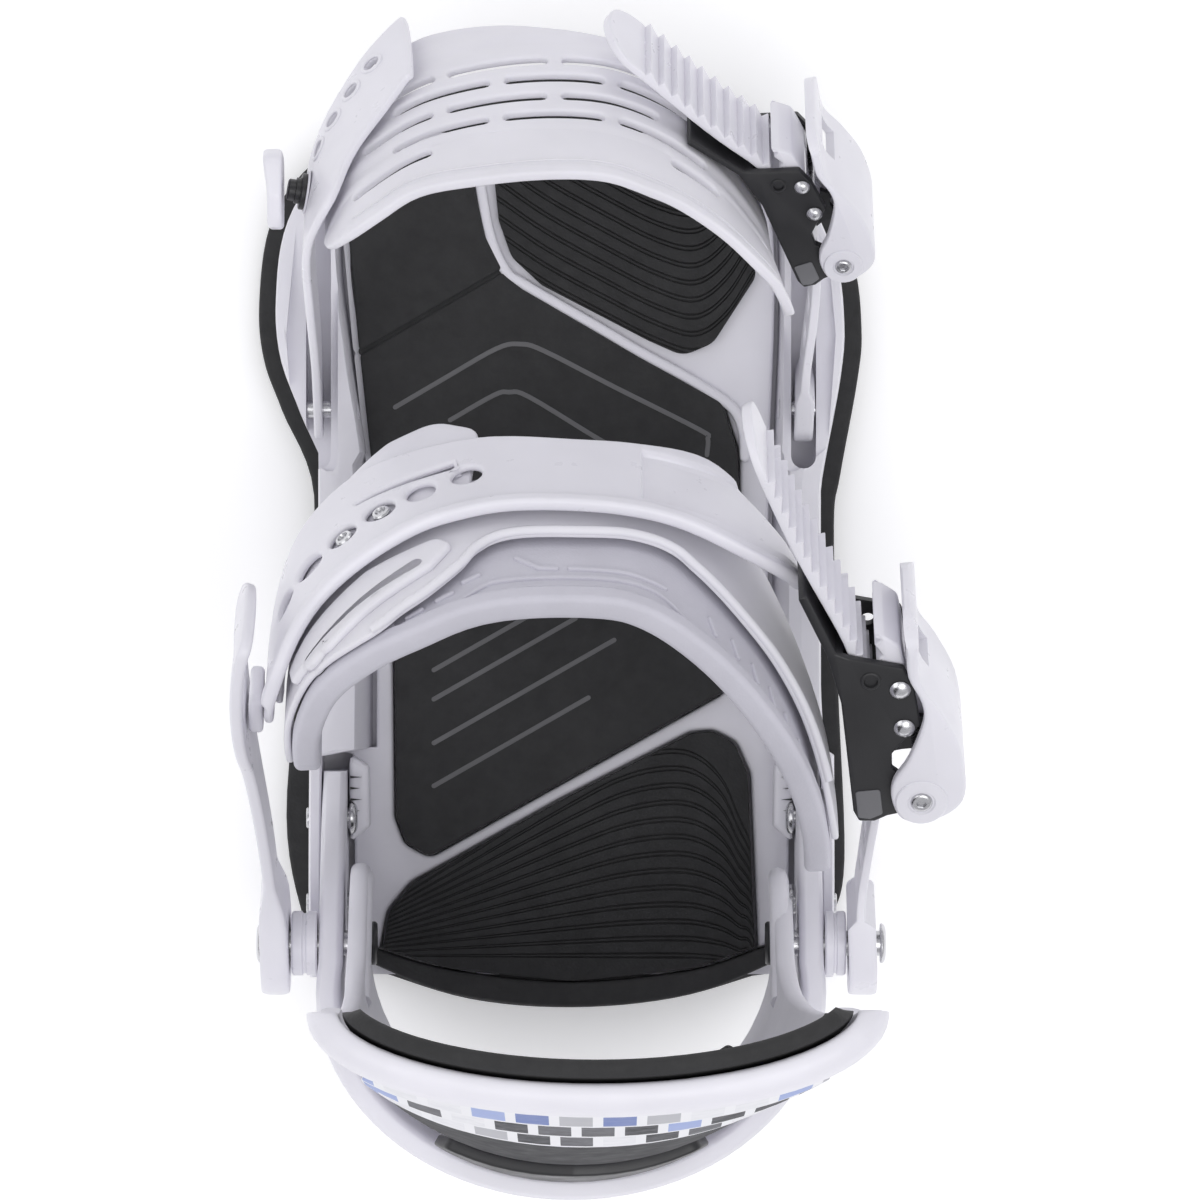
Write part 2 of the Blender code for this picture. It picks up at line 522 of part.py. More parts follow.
def make_ankle_strap():
    hug = ANKLE.place
    cuts = stations(-118, 112, 10)
    pad = [(-92, 15), (-78, 23), (-64, 25), (-50, 25), (-36, 23.5), (-20, 19.5), (7, 19), (18, 20.5),
           (34, 25), (50, 28), (68, 28), (84, 26), (102, 21), (108, 14), (96, 4), (74, -4), (56, -14),
           (44, -26), (30, -33), (6, -33), (-24, -33), (-44, -30), (-60, -20), (-76, -8), (-90, 2)]
    bent("ankle_pad", catmull(pad, 2, True), hug, -6, 0, SHADE, cuts=cuts, rough=0.8)
    frame = [(-94, 6), (-88, 14), (-72, 20), (-56, 22), (-44, 21.5), (-37, 17), (-31, 13), (-24, 6),
             (-20, 0), (-13, -3.5), (3, -3.5), (14, -4), (23, -3), (29, 0.5), (42, 7), (54, 10), (68, 14),
             (84, 21), (94, 22), (98, 15), (88, 6), (70, -4), (56, -14), (44, -22), (22, -26), (-20, -26),
             (-50, -16), (-76, -3)]
    slot = stadium(-36, 5, -58, 18.5, 1.5, 3)
    bent("ankle_frame", catmull(frame, 2, True), hug, 0.4, 2.0, SHADE, holes=[slot], cuts=cuts, rough=0.5)
    band = [(-86, -2), (-84, 8), (-74, 15), (-66, 14), (-55, 5), (-44, -0.5), (-32, -6), (-22, -7.5),
            (-12, -8), (6, -7), (21, -6), (35, -4), (46, -5), (51, -8), (52, -15), (47, -20), (38, -28),
            (28, -35.5), (14, -34.5), (0, -34.5), (-20, -37.5), (-36, -38), (-48, -37), (-58, -33),
            (-66, -28), (-76, -18)]
    holes = [circle(s, w, 2.7, 10) for s, w in ((-22, -23), (-32, -20.5), (-41, -18), (-49.5, -15),
                                                 (-58, -12), (-66, -9))]
    lift = lambda s: 5.0 * max(0.0, min(1.0, (s - 12) / 34)) ** 1.5
    bent("ankle_exo_band", catmull(band, 2, True), hug, lambda s, w: 4.6 + lift(s),
         lambda s, w: 6.6 + lift(s), WHITE, holes=holes, cuts=cuts, rough=0.4)
    tongue = rounded([(-86, -6), (-82, 4), (-60, -6), (-40, -14), (-22, -18), (-20, -44), (-30, -51),
                      (-41, -48), (-60, -34), (-76, -20)], [2, 2, 4, 4, 3, 6, 8, 6, 4, 4], 2)
    bent("ankle_adjuster_tongue", tongue, hug, 2.6, 4.2, WHITE, cuts=cuts, rough=0.4)
    for i, (s, w) in enumerate(((-41, -18), (-49.5, -15))):
        turned(f"ankle_adjuster_stud_{i + 1}", hug(s, w, 4.6), hug(s, w, 6.2), [(0, 2.2), (1, 2.0)], STEEL,
               n=10, metal=1.0)
    arm = [(20, -6.5), (50, -7), (62, -12), (70, -13.5), (88, -13.5), (94, -9), (94, 11), (88, 14.5),
           (70, 14.5), (62, 13), (50, 8), (20, 6.5)]
    make_arm("ankle_connector_left", ANKLE_ARM, arm, 11.8, 3.2, 1.4, WHITE,
             [rounded([(70, -9), (86, -9), (86, 10), (70, 10)], 2, 1)])
    keeper = rounded([(-88, -7), (-88, 7), (-79, 7), (-79, -7)], 2, 1)
    bent("ankle_strap_keeper", keeper, hug, 7.0, 10.2, WHITE, cuts=(-84,), rough=0.4)


def make_arm(name, strap, outline, eye_r, eye_half, thin, colour, holes=()):
    """Connector from a pivot eye up to the strap; s is measured from the pivot along its path."""
    zero = strap.reach[next(i for i, p in enumerate(strap.line) if p[1] >= 0)]
    eye = [(eye_r * math.cos(a), eye_r * math.sin(a))
           for a in (math.radians(75 + 210 * k / 9) for k in range(10))]

    def half(s, w):
        return along([(12, eye_half), (20, thin)], s)

    bent(name, eye + outline, lambda s, w, n: strap.place(s + zero, w, n), lambda s, w: -half(s, w), half,
         colour, holes=[circle(0, 0, 3.3, 12), *holes], cuts=(-6, 5, *stations(12, 100, 8)), rough=0.4)


def make_ladder(name, strap, width, tip, teeth, drift, eye_r, eye_half):
    """Ratchet ladder: s from its tip, w shifts by drift(s); teeth is (first, last, pitch)."""
    zero = strap.reach[next(i for i, p in enumerate(strap.line) if p[1] <= 0)]
    start = strap.reach[0]
    length = zero - start
    half = width / 2
    first, last, pitch = teeth
    ring = [(tip - tip * math.cos(math.radians(v)), half * math.sin(math.radians(v)))
            for v in (-90, -60, -35, -12, 12, 35, 60, 90)]
    foot = [(length + eye_r * math.cos(math.radians(v)), eye_r * math.sin(math.radians(v)))
            for v in (105, 75, 45, 15, -15, -45, -75, -105)]
    neck = length - eye_r - 8
    outline = ring + [(last + 4, half), (neck, 6.5)] + foot + [(neck, -6.5), (last + 4, -half)]
    count = int((last - first) / pitch)
    cuts = []
    for k in range(count + 1):
        cuts += [first + k * pitch, first + k * pitch + 0.35]
    cuts += stations(last + 3, length + 8, 6)

    def top(s, w):
        if s < first or s > first + count * pitch + 0.2:
            return eye_half if s > length - eye_r else 0.6
        t = ((s - first) % pitch) / pitch
        return 2.1 - 1.9 * t if abs(t - round(t)) > 1e-3 else 0.3

    def low(s, w):
        return -eye_half if s > length - eye_r else -1.4

    bore = circle(length, 0, 3.3 if eye_half > 2.5 else 2.5, 10)
    put = lambda s, w, n: strap.place(start + s, w + drift(s), n)
    return bent(name, outline, put, low, top, WHITE, holes=[bore], cuts=cuts, rough=0.35)


def make_buckle(name, strap, x0, h0, turn, k, wc, half, splay, dip):
    """Ratchet buckle in the plane of the strap: a runs down its base from (x0, h0), b outwards."""
    ax, ah = math.sin(turn), -math.cos(turn)

    def put(a, b, w):
        return strap.tilted(x0 + k * (a * ax - b * ah), h0 + k * (a * ah + b * ax), w + wc)

    def slab(piece, ring, w0, w1, colour, **look):
        return bent(piece, ring, put, w0, w1, colour, **look)

    def pin(piece, a, b, r, w0, w1, radii=None, **look):
        look.setdefault("colour", STEEL)
        return turned(piece, put(a, b, w0), put(a, b, w1), radii or [(0, r), (1, r)], **look)

    side = [(-18, -7.6 - dip), (-17.4, -9.4 - dip), (-1, -4.4 - 0.1 * dip), (12, -2.5), (42, -2.5),
            (44.8, -1.5), (45.2, 2), (44, 5), (43.4, 9), (43.4, 14), (41.5, 17), (38, 17.4), (35, 15.5),
            (34, 10), (31, 7.2), (27, 7.5), (23.7, 10.5), (19.7, 14.6), (9.6, 14), (3.9, 12.2), (0, 0.4),
            (-1.6, -2.4 - 0.1 * dip)]
    frame = slab(f"{name}_buckle_frame", side, -half, half, BLACK, rough=0.35)
    inner = half - 1.7
    boolean(frame, slab(f"{name}_channel", [(-3, -0.9), (60, -0.9), (60, 40), (-3, 40)], -inner, inner,
                        BLACK, cutter=True))
    pins = ((9.5, 10.9), (20, 10.9))
    for i, (a, b) in enumerate(pins):
        boolean(frame, pin(f"{name}_pin_bore_{i}", a, b, 1.75, -40, 40, n=10, colour=BLACK, cutter=True))
        pin(f"{name}_buckle_pin_{i + 1}", a, b, 1.4, -half - 0.3, half + 0.3, n=10, metal=1.0)
    boolean(frame, pin(f"{name}_sight_bore", 6.5, 4.6, 1.6, -40, 40, n=10, colour=BLACK, cutter=True))
    lever = [(-8.4, 13.2), (-8, 15.4), (-5, 16.2), (6.3, 15.6), (14.5, 19.3), (25, 22.8), (36.8, 23.2),
             (42.1, 20.5), (45, 14), (43.6, 8.3), (38, 6.4), (32.9, 7.3), (27.2, 11.2), (17.9, 15.2),
             (12.1, 15.3), (5, 13.0), (-3, 13.2)]
    c, t = math.cos(splay), math.sin(splay)
    spun = lambda ring: [(39 + (a - 39) * c + (b - 13) * t, 13 + (b - 13) * c - (a - 39) * t)
                         for a, b in ring]
    arm = slab(f"{name}_lever", spun(lever), -half - 2.6, half + 2.6, WHITE, rough=0.35)
    under = [(8, 4), (8, 12.8), (14.5, 16.8), (25, 20.2), (36, 20.4), (39.5, 18.6), (60, 16), (60, 4)]
    boolean(arm, slab(f"{name}_lever_channel", spun(under), -half - 0.4, half + 0.4, WHITE, cutter=True))
    boolean(arm, slab(f"{name}_lever_window", spun([(4, 5), (11, 5), (11, 40), (4, 40)]), -8, 3, WHITE,
                      cutter=True))
    for piece in (frame, arm):
        boolean(piece, pin(f"{piece.name}_axle_bore", 39, 13, 2.0 / k, -40, 40, n=12, colour=WHITE,
                           cutter=True))
    pin(f"{name}_lever_axle", 39, 13, 1.6, -half - 2.9, half + 2.9, n=12, metal=1.0, hole=0.9, depth=1.2)
    teeth = [(-4.6, 6.0), (-3.8, 8.6), (-0.8, 11.8), (4, 12.3), (10, 12.6), (12.6, 11.6), (12.4, 9.2),
             (9, 8.4)]
    for step in range(3):
        teeth += [(7 - 4.2 * step, 6.2), (5.6 - 4.2 * step, 7.6)]
    pawl = slab(f"{name}_pawl", teeth, -inner + 0.5, inner - 0.5, WHITE, rough=0.35)
    a, b = pins[0]
    boolean(pawl, pin(f"{name}_pawl_bore", a, b, 1.75, -40, 40, n=10, colour=WHITE, cutter=True))
    lean = math.atan2(5.2 + 0.9 * dip, 16.4)
    da, db = -math.sin(lean), math.cos(lean)
    ca, cb = -10.0, -5.06 - 0.56 * dip
    spot = lambda v: put(ca + v * da, cb + v * db, 0)
    boolean(frame, turned(f"{name}_mount_bore", spot(-6), spot(3), [(0, 2.6), (1, 2.6)], BLACK, n=10,
                          cutter=True))
    turned(f"{name}_buckle_mount_screw", spot(-2.9), spot(1.35), [(0, 2.1), (0.81, 2.1), (0.811, 4.4),
           (1, 4.0)], STEEL, n=14, metal=1.0)
    return put


def row_w(w, s):
    """The rows of slots in the toe cap bow towards the heel at both ends."""
    return w + 0.002 * s * s


def make_toe_strap():
    def hug(s, w, n):
        # the rear edge of the cap flares out beside the buckle
        t = max(0.0, min(1.0, (s - 20) / 34))
        return TOE.place(s, w, n + 0.2 * max(0.0, w - 8) * t)

    cuts = stations(-78, 70, 10)
    cap = [(-66, 14), (-62, 22), (-53, 28.5), (-44, 28.5), (-34, 26.5), (-18, 27), (7, 26), (16, 26.5),
           (25, 27), (38, 29.5), (50, 31.5), (62, 30), (68, 22), (64, 8), (54, -6), (44, -14), (32, -21.5),
           (20, -25), (7, -27), (-3, -29), (-13, -31), (-26, -32), (-38, -31), (-46, -23), (-54, -16),
           (-63, -4)]
    slots = []
    for row, w in enumerate((-16.5, -10, -3, 4, 11)):
        for j in range(-2, 3):
            mid = 26 * j + (13 if row % 2 else 0) - 16
            a, b = max(mid - 10, -50 + 0.2 * (11 - w)), min(mid + 10, 33 + 0.3 * w)
            if (row == 4 and -34 < mid < 30) or b - a < 7:
                continue
            wa, wb = row_w(w, a), row_w(w, b)
            slots.append([(a, wa - 0.85), (b, wb - 0.85), (b + 0.8, wb), (b, wb + 0.85), (a, wa + 0.85),
                          (a - 0.8, wa)])
    bent("toe_cap", catmull(cap, 2, True), hug, -1.4, 0.6, WHITE, holes=slots, cuts=cuts, rough=0.45)
    zero = TOE_ARM.reach[next(i for i, p in enumerate(TOE_ARM.line) if p[1] >= 0)]
    put = lambda s, w, n: TOE_ARM.place(s + zero, w, n)
    foot = [(7 * math.cos(math.radians(v)), 7 * math.sin(math.radians(v))) for v in range(110, 251, 20)]
    ring = foot + [(16, -7), (40, -10), (58, -16), (66, -16.5), (74, -21.5), (84, -30.5), (92, -36),
                   (95, -34), (97, -14), (95, -11), (88, -3), (80, 5), (74, 15), (66, 17), (54, 13),
                   (40, 10), (16, 7)]
    holes = [circle(0, 0, 2.5, 10)] + [circle(s, w, 2.0, 10) for s, w in
                                       ((86, -24), (80, -19), (74, -14), (68, -10))]
    bent("toe_connector_left", ring, put, -1.0, 1.0, WHITE, holes=holes, cuts=stations(-6, 96, 6), rough=0.4)
    stud = put(60, -4, 1.4)
    end = put(60, -4, 5.6)
    turned("toe_adjuster_stud", stud, end, [(0, 4.2), (0.3, 4.2), (0.301, 3.0), (1, 3.0)], BLACK, n=14)
    tab = rounded([(-9, -7), (-9, 6), (-2, 9), (7, 9), (9, 4), (8, -6), (2, -8)], 3, 2)
    sx, sy, sz = end
    bent("toe_adjuster_lever", tab, lambda s, w, n: (sx - 1.0 - n, sy + s, sz + w), 0, 4.4, WHITE, rough=0.4)
    return end


def make_pivots():
    """Screw, nut and spacer on each side, shared by the ankle strap and the highback."""
    for side, name, x_out in ((-1, "left", 63.9), (1, "right", 62.8)):
        def at(x):
            return side * x, PIVOT_Y, PIVOT_Z

        turned(f"pivot_nut_{name}", at(45.7), at(44.4), [(0, 5.0), (1, 4.6)], BLACK, n=12)
        spacer = turned(f"pivot_spacer_{name}", at(58.0), at(x_out), [(0, 7.4), (1, 7.4)], WHITE, n=20)
        boolean(spacer, turned(f"spacer_bore_{name}", at(40), at(80), [(0, 3.3), (1, 3.3)], WHITE, n=14,
                               cutter=True))
        turned(f"pivot_bolt_{name}", at(46.2), at(72.0), [(0, 2.9), (0.965, 2.9), (0.965, 4.6), (1, 4.0)],
               STEEL, n=16, metal=1.0, hole=2.0, depth=0.6)


def ankle_drift(s):
    """How far the ankle ladder lies off the middle of its path: its tip towards the toe."""
    return -3 - 5 * max(0, 1 - s / 40) if s < 104 else -3 + 3 * min(1, (s - 104) / 26)


def toe_drift(s):
    return -7 - 7 * max(0, 1 - s / 36) if s < 86 else -7 + 7 * min(1, (s - 86) / 22)


def hang(pivot, at, *names):
    """Puts the named pieces under an empty on their joint's axis."""
    empty = bpy.data.objects.new(pivot, None)
    PARTS.objects.link(empty)
    empty.location = Vector(at) * MM
    for name in names:
        piece = bpy.data.objects[name]
        piece.parent = empty
        piece.matrix_parent_inverse = Matrix.Translation(-empty.location)


make_base()
make_heel_cup()
make_highback()
make_ankle_strap()
make_ladder("ankle_ladder", ANKLE_LADDER, LADDER_W, 9, (12, 78, 4.0), ankle_drift, 11.8, 3.2)
on_ankle = make_buckle("ankle", ANKLE, 61.4, 86.8, math.radians(6.3), 1.0, -3, 12.9, 0.0, 0.0)
tab_axis = make_toe_strap()
make_ladder("toe_ladder", TOE_LADDER, 19, 8, (11, 62, 3.8), toe_drift, 7.5, 2.2)
on_toe = make_buckle("toe", TOE, 41.9, 71.8, math.radians(21.2), 0.77, -7, 11.6, math.radians(6.5), 6.0)
make_pivots()

rear_pivot, front_pivot = (0, PIVOT_Y, PIVOT_Z), (0, TOE_PIVOT_Y, TOE_PIVOT_Z)
hang("disc_turn", (0, 0, 0), "mounting_disc", *(f"disc_screw_{i}" for i in (1, 2, 3, 4)))
hang("heelcup_slide", rear_pivot, "heelcup",
     *(f"pivot_{piece}_{side}" for piece in ("nut", "spacer", "bolt") for side in ("left", "right")))
hang("highback_fold", rear_pivot, "highback", "highback_pad", "highback_rear_panel")
hang("lean_slide", rear_pivot, "forward_lean_block")
hang("ankle_strap_swing", rear_pivot, "ankle_pad", "ankle_frame", "ankle_exo_band", "ankle_adjuster_tongue",
     "ankle_adjuster_stud_1", "ankle_adjuster_stud_2", "ankle_connector_left", "ankle_strap_keeper",
     "ankle_buckle_frame", "ankle_buckle_pin_1", "ankle_buckle_pin_2", "ankle_buckle_mount_screw")
hang("ankle_ladder_swing", rear_pivot, "ankle_ladder")
hang("ankle_lever_swing", on_ankle(39, 13, 0), "ankle_lever", "ankle_lever_axle")
hang("ankle_pawl_swing", on_ankle(9.5, 10.9, 0), "ankle_pawl")
hang("toe_strap_swing", front_pivot, "toe_cap", "toe_connector_left", "toe_adjuster_stud",
     "toe_buckle_frame", "toe_buckle_pin_1", "toe_buckle_pin_2", "toe_buckle_mount_screw")
hang("toe_ladder_swing", front_pivot, "toe_ladder")
hang("toe_lever_swing", on_toe(39, 13, 0), "toe_lever", "toe_lever_axle")
hang("toe_pawl_swing", on_toe(9.5, 10.9, 0), "toe_pawl")
hang("toe_tab_turn", tab_axis, "toe_adjuster_lever")
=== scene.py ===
"""Snowboard binding: moulded shells, foam pads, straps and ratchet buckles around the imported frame.
Sizes are in millimetres until a mesh is made, in the frame's own axes: toe towards +Y, up +Z."""

import bisect as ordered
import json
import math

import bmesh
import bpy
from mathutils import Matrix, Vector

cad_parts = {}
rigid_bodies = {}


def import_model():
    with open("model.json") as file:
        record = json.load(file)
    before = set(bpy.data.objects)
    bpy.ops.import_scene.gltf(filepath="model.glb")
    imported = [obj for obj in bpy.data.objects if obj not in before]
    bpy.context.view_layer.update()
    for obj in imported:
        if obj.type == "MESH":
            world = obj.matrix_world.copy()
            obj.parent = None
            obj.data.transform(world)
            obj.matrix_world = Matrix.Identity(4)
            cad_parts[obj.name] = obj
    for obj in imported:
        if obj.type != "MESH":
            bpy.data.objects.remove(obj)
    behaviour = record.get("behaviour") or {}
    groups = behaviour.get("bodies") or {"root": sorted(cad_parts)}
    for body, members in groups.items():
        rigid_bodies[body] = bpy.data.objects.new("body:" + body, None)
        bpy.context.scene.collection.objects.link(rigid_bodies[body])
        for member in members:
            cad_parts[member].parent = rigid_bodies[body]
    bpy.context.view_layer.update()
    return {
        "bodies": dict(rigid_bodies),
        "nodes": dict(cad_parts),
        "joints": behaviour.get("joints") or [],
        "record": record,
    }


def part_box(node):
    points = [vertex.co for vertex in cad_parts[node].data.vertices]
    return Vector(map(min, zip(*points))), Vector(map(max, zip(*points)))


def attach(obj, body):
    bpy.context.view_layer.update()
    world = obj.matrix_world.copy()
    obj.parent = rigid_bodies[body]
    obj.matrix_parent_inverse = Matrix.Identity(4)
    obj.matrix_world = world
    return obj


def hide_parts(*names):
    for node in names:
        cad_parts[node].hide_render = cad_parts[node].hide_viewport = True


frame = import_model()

MM = 0.001
WHITE, SOFT_WHITE, LILAC = (0.79, 0.78, 0.835), (0.78, 0.77, 0.82), (0.60, 0.59, 0.655)


def lowest(node):
    return [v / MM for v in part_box(node)[0]]


def highest(node):
    return [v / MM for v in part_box(node)[1]]


# driving sizes, read from the frame where a node gives them
SOLE_TOP = highest("base_bushing")[2]
FOOTBED = highest("heel_pad")[2]
PAD_LOW = lowest("heel_pad")[2]
PIVOT_Y = (lowest("pivot_bolt_left")[1] + highest("pivot_bolt_left")[1]) / 2
PIVOT_Z = (lowest("pivot_bolt_left")[2] + highest("pivot_bolt_left")[2]) / 2
TOE_Y = (lowest("toe_pivot_pin_left")[1] + highest("toe_pivot_pin_left")[1]) / 2
TOE_Z = (lowest("toe_pivot_pin_left")[2] + highest("toe_pivot_pin_left")[2]) / 2
BACK_TOP = 224.0  # height of the highback
LEAN = math.radians(9.5)  # how far its rear face leans back
ANKLE_TILT, TOE_TILT = 55.0, 50.0  # degrees that each strap's plane leans ahead of upright
TOE_X_L, TOE_X_R = 58.8, 53.9  # where the toe strap's arm and ladder hang in their slots
TOE_BOW = 0.002  # the toe cap's rows bow by this times s squared
RAIL_WALL = 58.3  # inner face of the rails beside the heel cup's arms
ARM_X, ARM_T = 54.8, 5.6  # middle and thickness of those arms
ARM_BOLTS_Y, ARM_BOLT_Z = (-60, -80), 22  # bolts that hold them
PIVOT_BORE, TOE_BORE = 3.3, 2.5  # radii of the eyes' holes
DISC_HOLE = 40.4  # radius of the opening for the mounting disc


# ---- materials ----------------------------------------------------------------------------


class Maker:
    """One node material: a Principled shader and the procedural nodes that feed it."""

    def __init__(self, name):
        self.material = bpy.data.materials.new(name)
        self.material.use_nodes = True
        self.tree = self.material.node_tree
        self.shader = self.tree.nodes["Principled BSDF"]
        self.place = self.node("ShaderNodeTexCoord").outputs["Object"]
        self.height = None

    def node(self, kind, **values):
        made = self.tree.nodes.new(kind)
        for key, value in values.items():
            setattr(made, key, value)
        return made

    def link(self, a, b):
        self.tree.links.new(a, b)

    def set(self, **values):
        for key, value in values.items():
            self.shader.inputs[key.replace("_", " ")].default_value = value

    def noise(self, scale, detail=4.0, rough=0.55, stretch=None):
        made = self.node("ShaderNodeTexNoise")
        made.inputs["Scale"].default_value = scale
        made.inputs["Detail"].default_value = detail
        made.inputs["Roughness"].default_value = rough
        source = self.place
        if stretch:
            bend = self.node("ShaderNodeMapping")
            bend.inputs["Scale"].default_value = stretch
            self.link(self.place, bend.inputs["Vector"])
            source = bend.outputs["Vector"]
        self.link(source, made.inputs["Vector"])
        return made.outputs["Fac"]

    def cells(self, scale):
        made = self.node("ShaderNodeTexVoronoi")
        made.inputs["Scale"].default_value = scale
        self.link(self.place, made.inputs["Vector"])
        return made.outputs["Distance"]

    def spread(self, source, low, high, low_at=0.3, high_at=0.7):
        made = self.node("ShaderNodeMapRange")
        for key, value in (("From Min", low_at), ("From Max", high_at), ("To Min", low), ("To Max", high)):
            made.inputs[key].default_value = value
        self.link(source, made.inputs["Value"])
        return made.outputs["Result"]

    def mix(self, share, one, two):
        made = self.node("ShaderNodeMix", data_type="RGBA")
        for at, colour in ((6, one), (7, two)):
            if hasattr(colour, "is_output"):
                self.link(colour, made.inputs[at])
            else:
                made.inputs[at].default_value = (*colour, 1)
        self.link(share, made.inputs[0])
        return made.outputs[2]

    def tone(self, source, one, two):
        self.link(self.mix(self.spread(source, 0, 1), one, two), self.shader.inputs["Base Color"])

    def rough(self, source, low, high):
        self.link(self.spread(source, low, high), self.shader.inputs["Roughness"])

    def bump(self, source, strength, distance=0.0002):
        made = self.node("ShaderNodeBump")
        made.inputs["Strength"].default_value = strength
        made.inputs["Distance"].default_value = distance
        self.link(source, made.inputs["Height"])
        if self.height:
            self.link(self.height, made.inputs["Normal"])
        self.height = made.outputs["Normal"]
        self.link(self.height, self.shader.inputs["Normal"])


def tinted(colour, factor):
    return tuple(min(1.0, v * factor) for v in colour)


def moulded(name, colour, rough, grain=0.25, wear=0.04, soft=0.0):
    """Injection-moulded plastic: fine satin grain, faint flow marks, a little unevenness in gloss."""
    made = Maker(name)
    made.tone(made.noise(38, 3), tinted(colour, 1 - wear), tinted(colour, 1 + wear * 0.5))
    made.rough(made.noise(160, 5), rough - 0.06, rough + 0.08)
    made.set(IOR=1.5)
    if soft:
        made.set(Subsurface_Weight=soft, Subsurface_Radius=(0.004, 0.0038, 0.0045), Subsurface_Scale=0.5)
    made.bump(made.noise(2600, 2, 0.7), grain, 0.00006)
    made.bump(made.noise(55, 2, stretch=(1, 0.3, 1)), 0.10, 0.0004)
    return made.material


def foam(name, colour, rough, grain, cell=900.0, wear=0.12):
    """Closed-cell foam: tiny cells, dry sheen, uneven tone."""
    made = Maker(name)
    made.tone(made.noise(60, 6, 0.65), tinted(colour, 1 - wear), tinted(colour, 1 + wear))
    made.rough(made.noise(300, 4), rough - 0.08, min(1.0, rough + 0.08))
    made.set(Specular_IOR_Level=0.35, Sheen_Weight=0.04, Sheen_Roughness=0.6)
    made.bump(made.cells(cell), grain, 0.00012)
    made.bump(made.noise(2200, 3, 0.7), grain * 0.6, 0.00006)
    return made.material


def metal(name, colour, rough, lay=(1, 1, 14)):
    """Turned or plated steel: fine lay lines and smudges."""
    made = Maker(name)
    made.set(Metallic=1.0)
    made.tone(made.noise(90, 4), tinted(colour, 0.86), colour)
    made.rough(made.noise(700, 3, stretch=lay), rough - 0.05, rough + 0.12)
    made.bump(made.noise(1800, 2, stretch=lay), 0.15, 0.00004)
    return made.material


def mosaic(name):
    """Printed film on the highback's rear: offset tiles in white, greys and periwinkle with pale
    joints, over a plain charcoal band at its foot."""
    made = Maker(name)
    split = made.node("ShaderNodeSeparateXYZ")
    made.link(made.place, split.inputs["Vector"])
    flat = made.node("ShaderNodeCombineXYZ")
    made.link(split.outputs["X"], flat.inputs["X"])
    made.link(split.outputs["Z"], flat.inputs["Y"])

    def bricks(width, height, joint, shift):
        wall = made.node("ShaderNodeTexBrick", offset=0.5, squash=1.0)
        moved = made.node("ShaderNodeMapping")
        moved.inputs["Location"].default_value = shift
        made.link(flat.outputs["Vector"], moved.inputs["Vector"])
        made.link(moved.outputs["Vector"], wall.inputs["Vector"])
        for key, value in (("Scale", 1.0), ("Mortar Size", joint), ("Mortar Smooth", 0.0), ("Bias", 0.0),
                           ("Brick Width", width), ("Row Height", height)):
            wall.inputs[key].default_value = value
        wall.inputs["Color1"].default_value = (0, 0, 0, 1)
        wall.inputs["Color2"].default_value = (1, 1, 1, 1)
        wall.inputs["Mortar"].default_value = (0.5, 0.5, 0.5, 1)
        return wall

    big = bricks(0.0092, 0.0215, 0.0011, (0.003, 0.0045, 0))
    stops = made.node("ShaderNodeValToRGB")
    stops.color_ramp.interpolation = "CONSTANT"
    tones = ((0.0, (0.030, 0.030, 0.034)), (0.30, (0.11, 0.11, 0.12)), (0.44, (0.50, 0.50, 0.53)),
             (0.56, (0.17, 0.23, 0.50)), (0.68, (0.36, 0.44, 0.74)), (0.82, (0.85, 0.85, 0.88)))
    while len(stops.color_ramp.elements) < len(tones):
        stops.color_ramp.elements.new(0.5)
    for stop, (at, colour) in zip(stops.color_ramp.elements, tones):
        stop.position = at
        stop.color = (*colour, 1)
    made.link(big.outputs["Color"], stops.inputs["Fac"])
    smear = made.mix(made.spread(made.noise(240, 6, 0.7), 0, 0.22, 0.35, 0.7), stops.outputs["Color"],
                     (0.45, 0.46, 0.52))
    joints = made.mix(big.outputs["Fac"], smear, (0.86, 0.86, 0.89))
    foot = made.spread(split.outputs["Z"], 0.0, 1.0, 0.1445, 0.1450)
    picture = made.mix(foot, (0.045, 0.045, 0.05), joints)
    made.link(picture, made.shader.inputs["Base Color"])
    made.rough(made.noise(200, 3), 0.55, 0.7)
    made.set(Specular_IOR_Level=0.12)
    made.bump(made.noise(1500, 2), 0.08, 0.00005)
    return made.material


SHELL = moulded("shell_nylon", WHITE, 0.40, soft=0.05)
GLOSS = moulded("buckle_nylon", WHITE, 0.32, grain=0.15, soft=0.05)
URETHANE = moulded("strap_urethane", SOFT_WHITE, 0.46, grain=0.35, soft=0.12)
LINING = foam("strap_foam", LILAC, 0.72, 0.25, 1500, 0.04)
RUBBERED = foam("sole_foam", (0.030, 0.030, 0.031), 0.78, 0.45, 1100)
RIBBED = foam("footbed_rib_foam", (0.021, 0.021, 0.022), 0.70, 0.35, 1300)
INK = moulded("printed_grey", (0.125, 0.125, 0.13), 0.62, grain=0.3, wear=0.1)
BLACK_NYLON = moulded("black_nylon", (0.018, 0.018, 0.020), 0.38, grain=0.3, wear=0.25)
GREY_NYLON = moulded("grey_nylon", (0.16, 0.16, 0.17), 0.42, grain=0.2)
STEEL = metal("plated_steel", (0.66, 0.66, 0.68), 0.22)
FILM = mosaic("rear_print")
SIDES = ((-1, "left"), (1, "right"))


# ---- curves and outlines ------------------------------------------------------------------


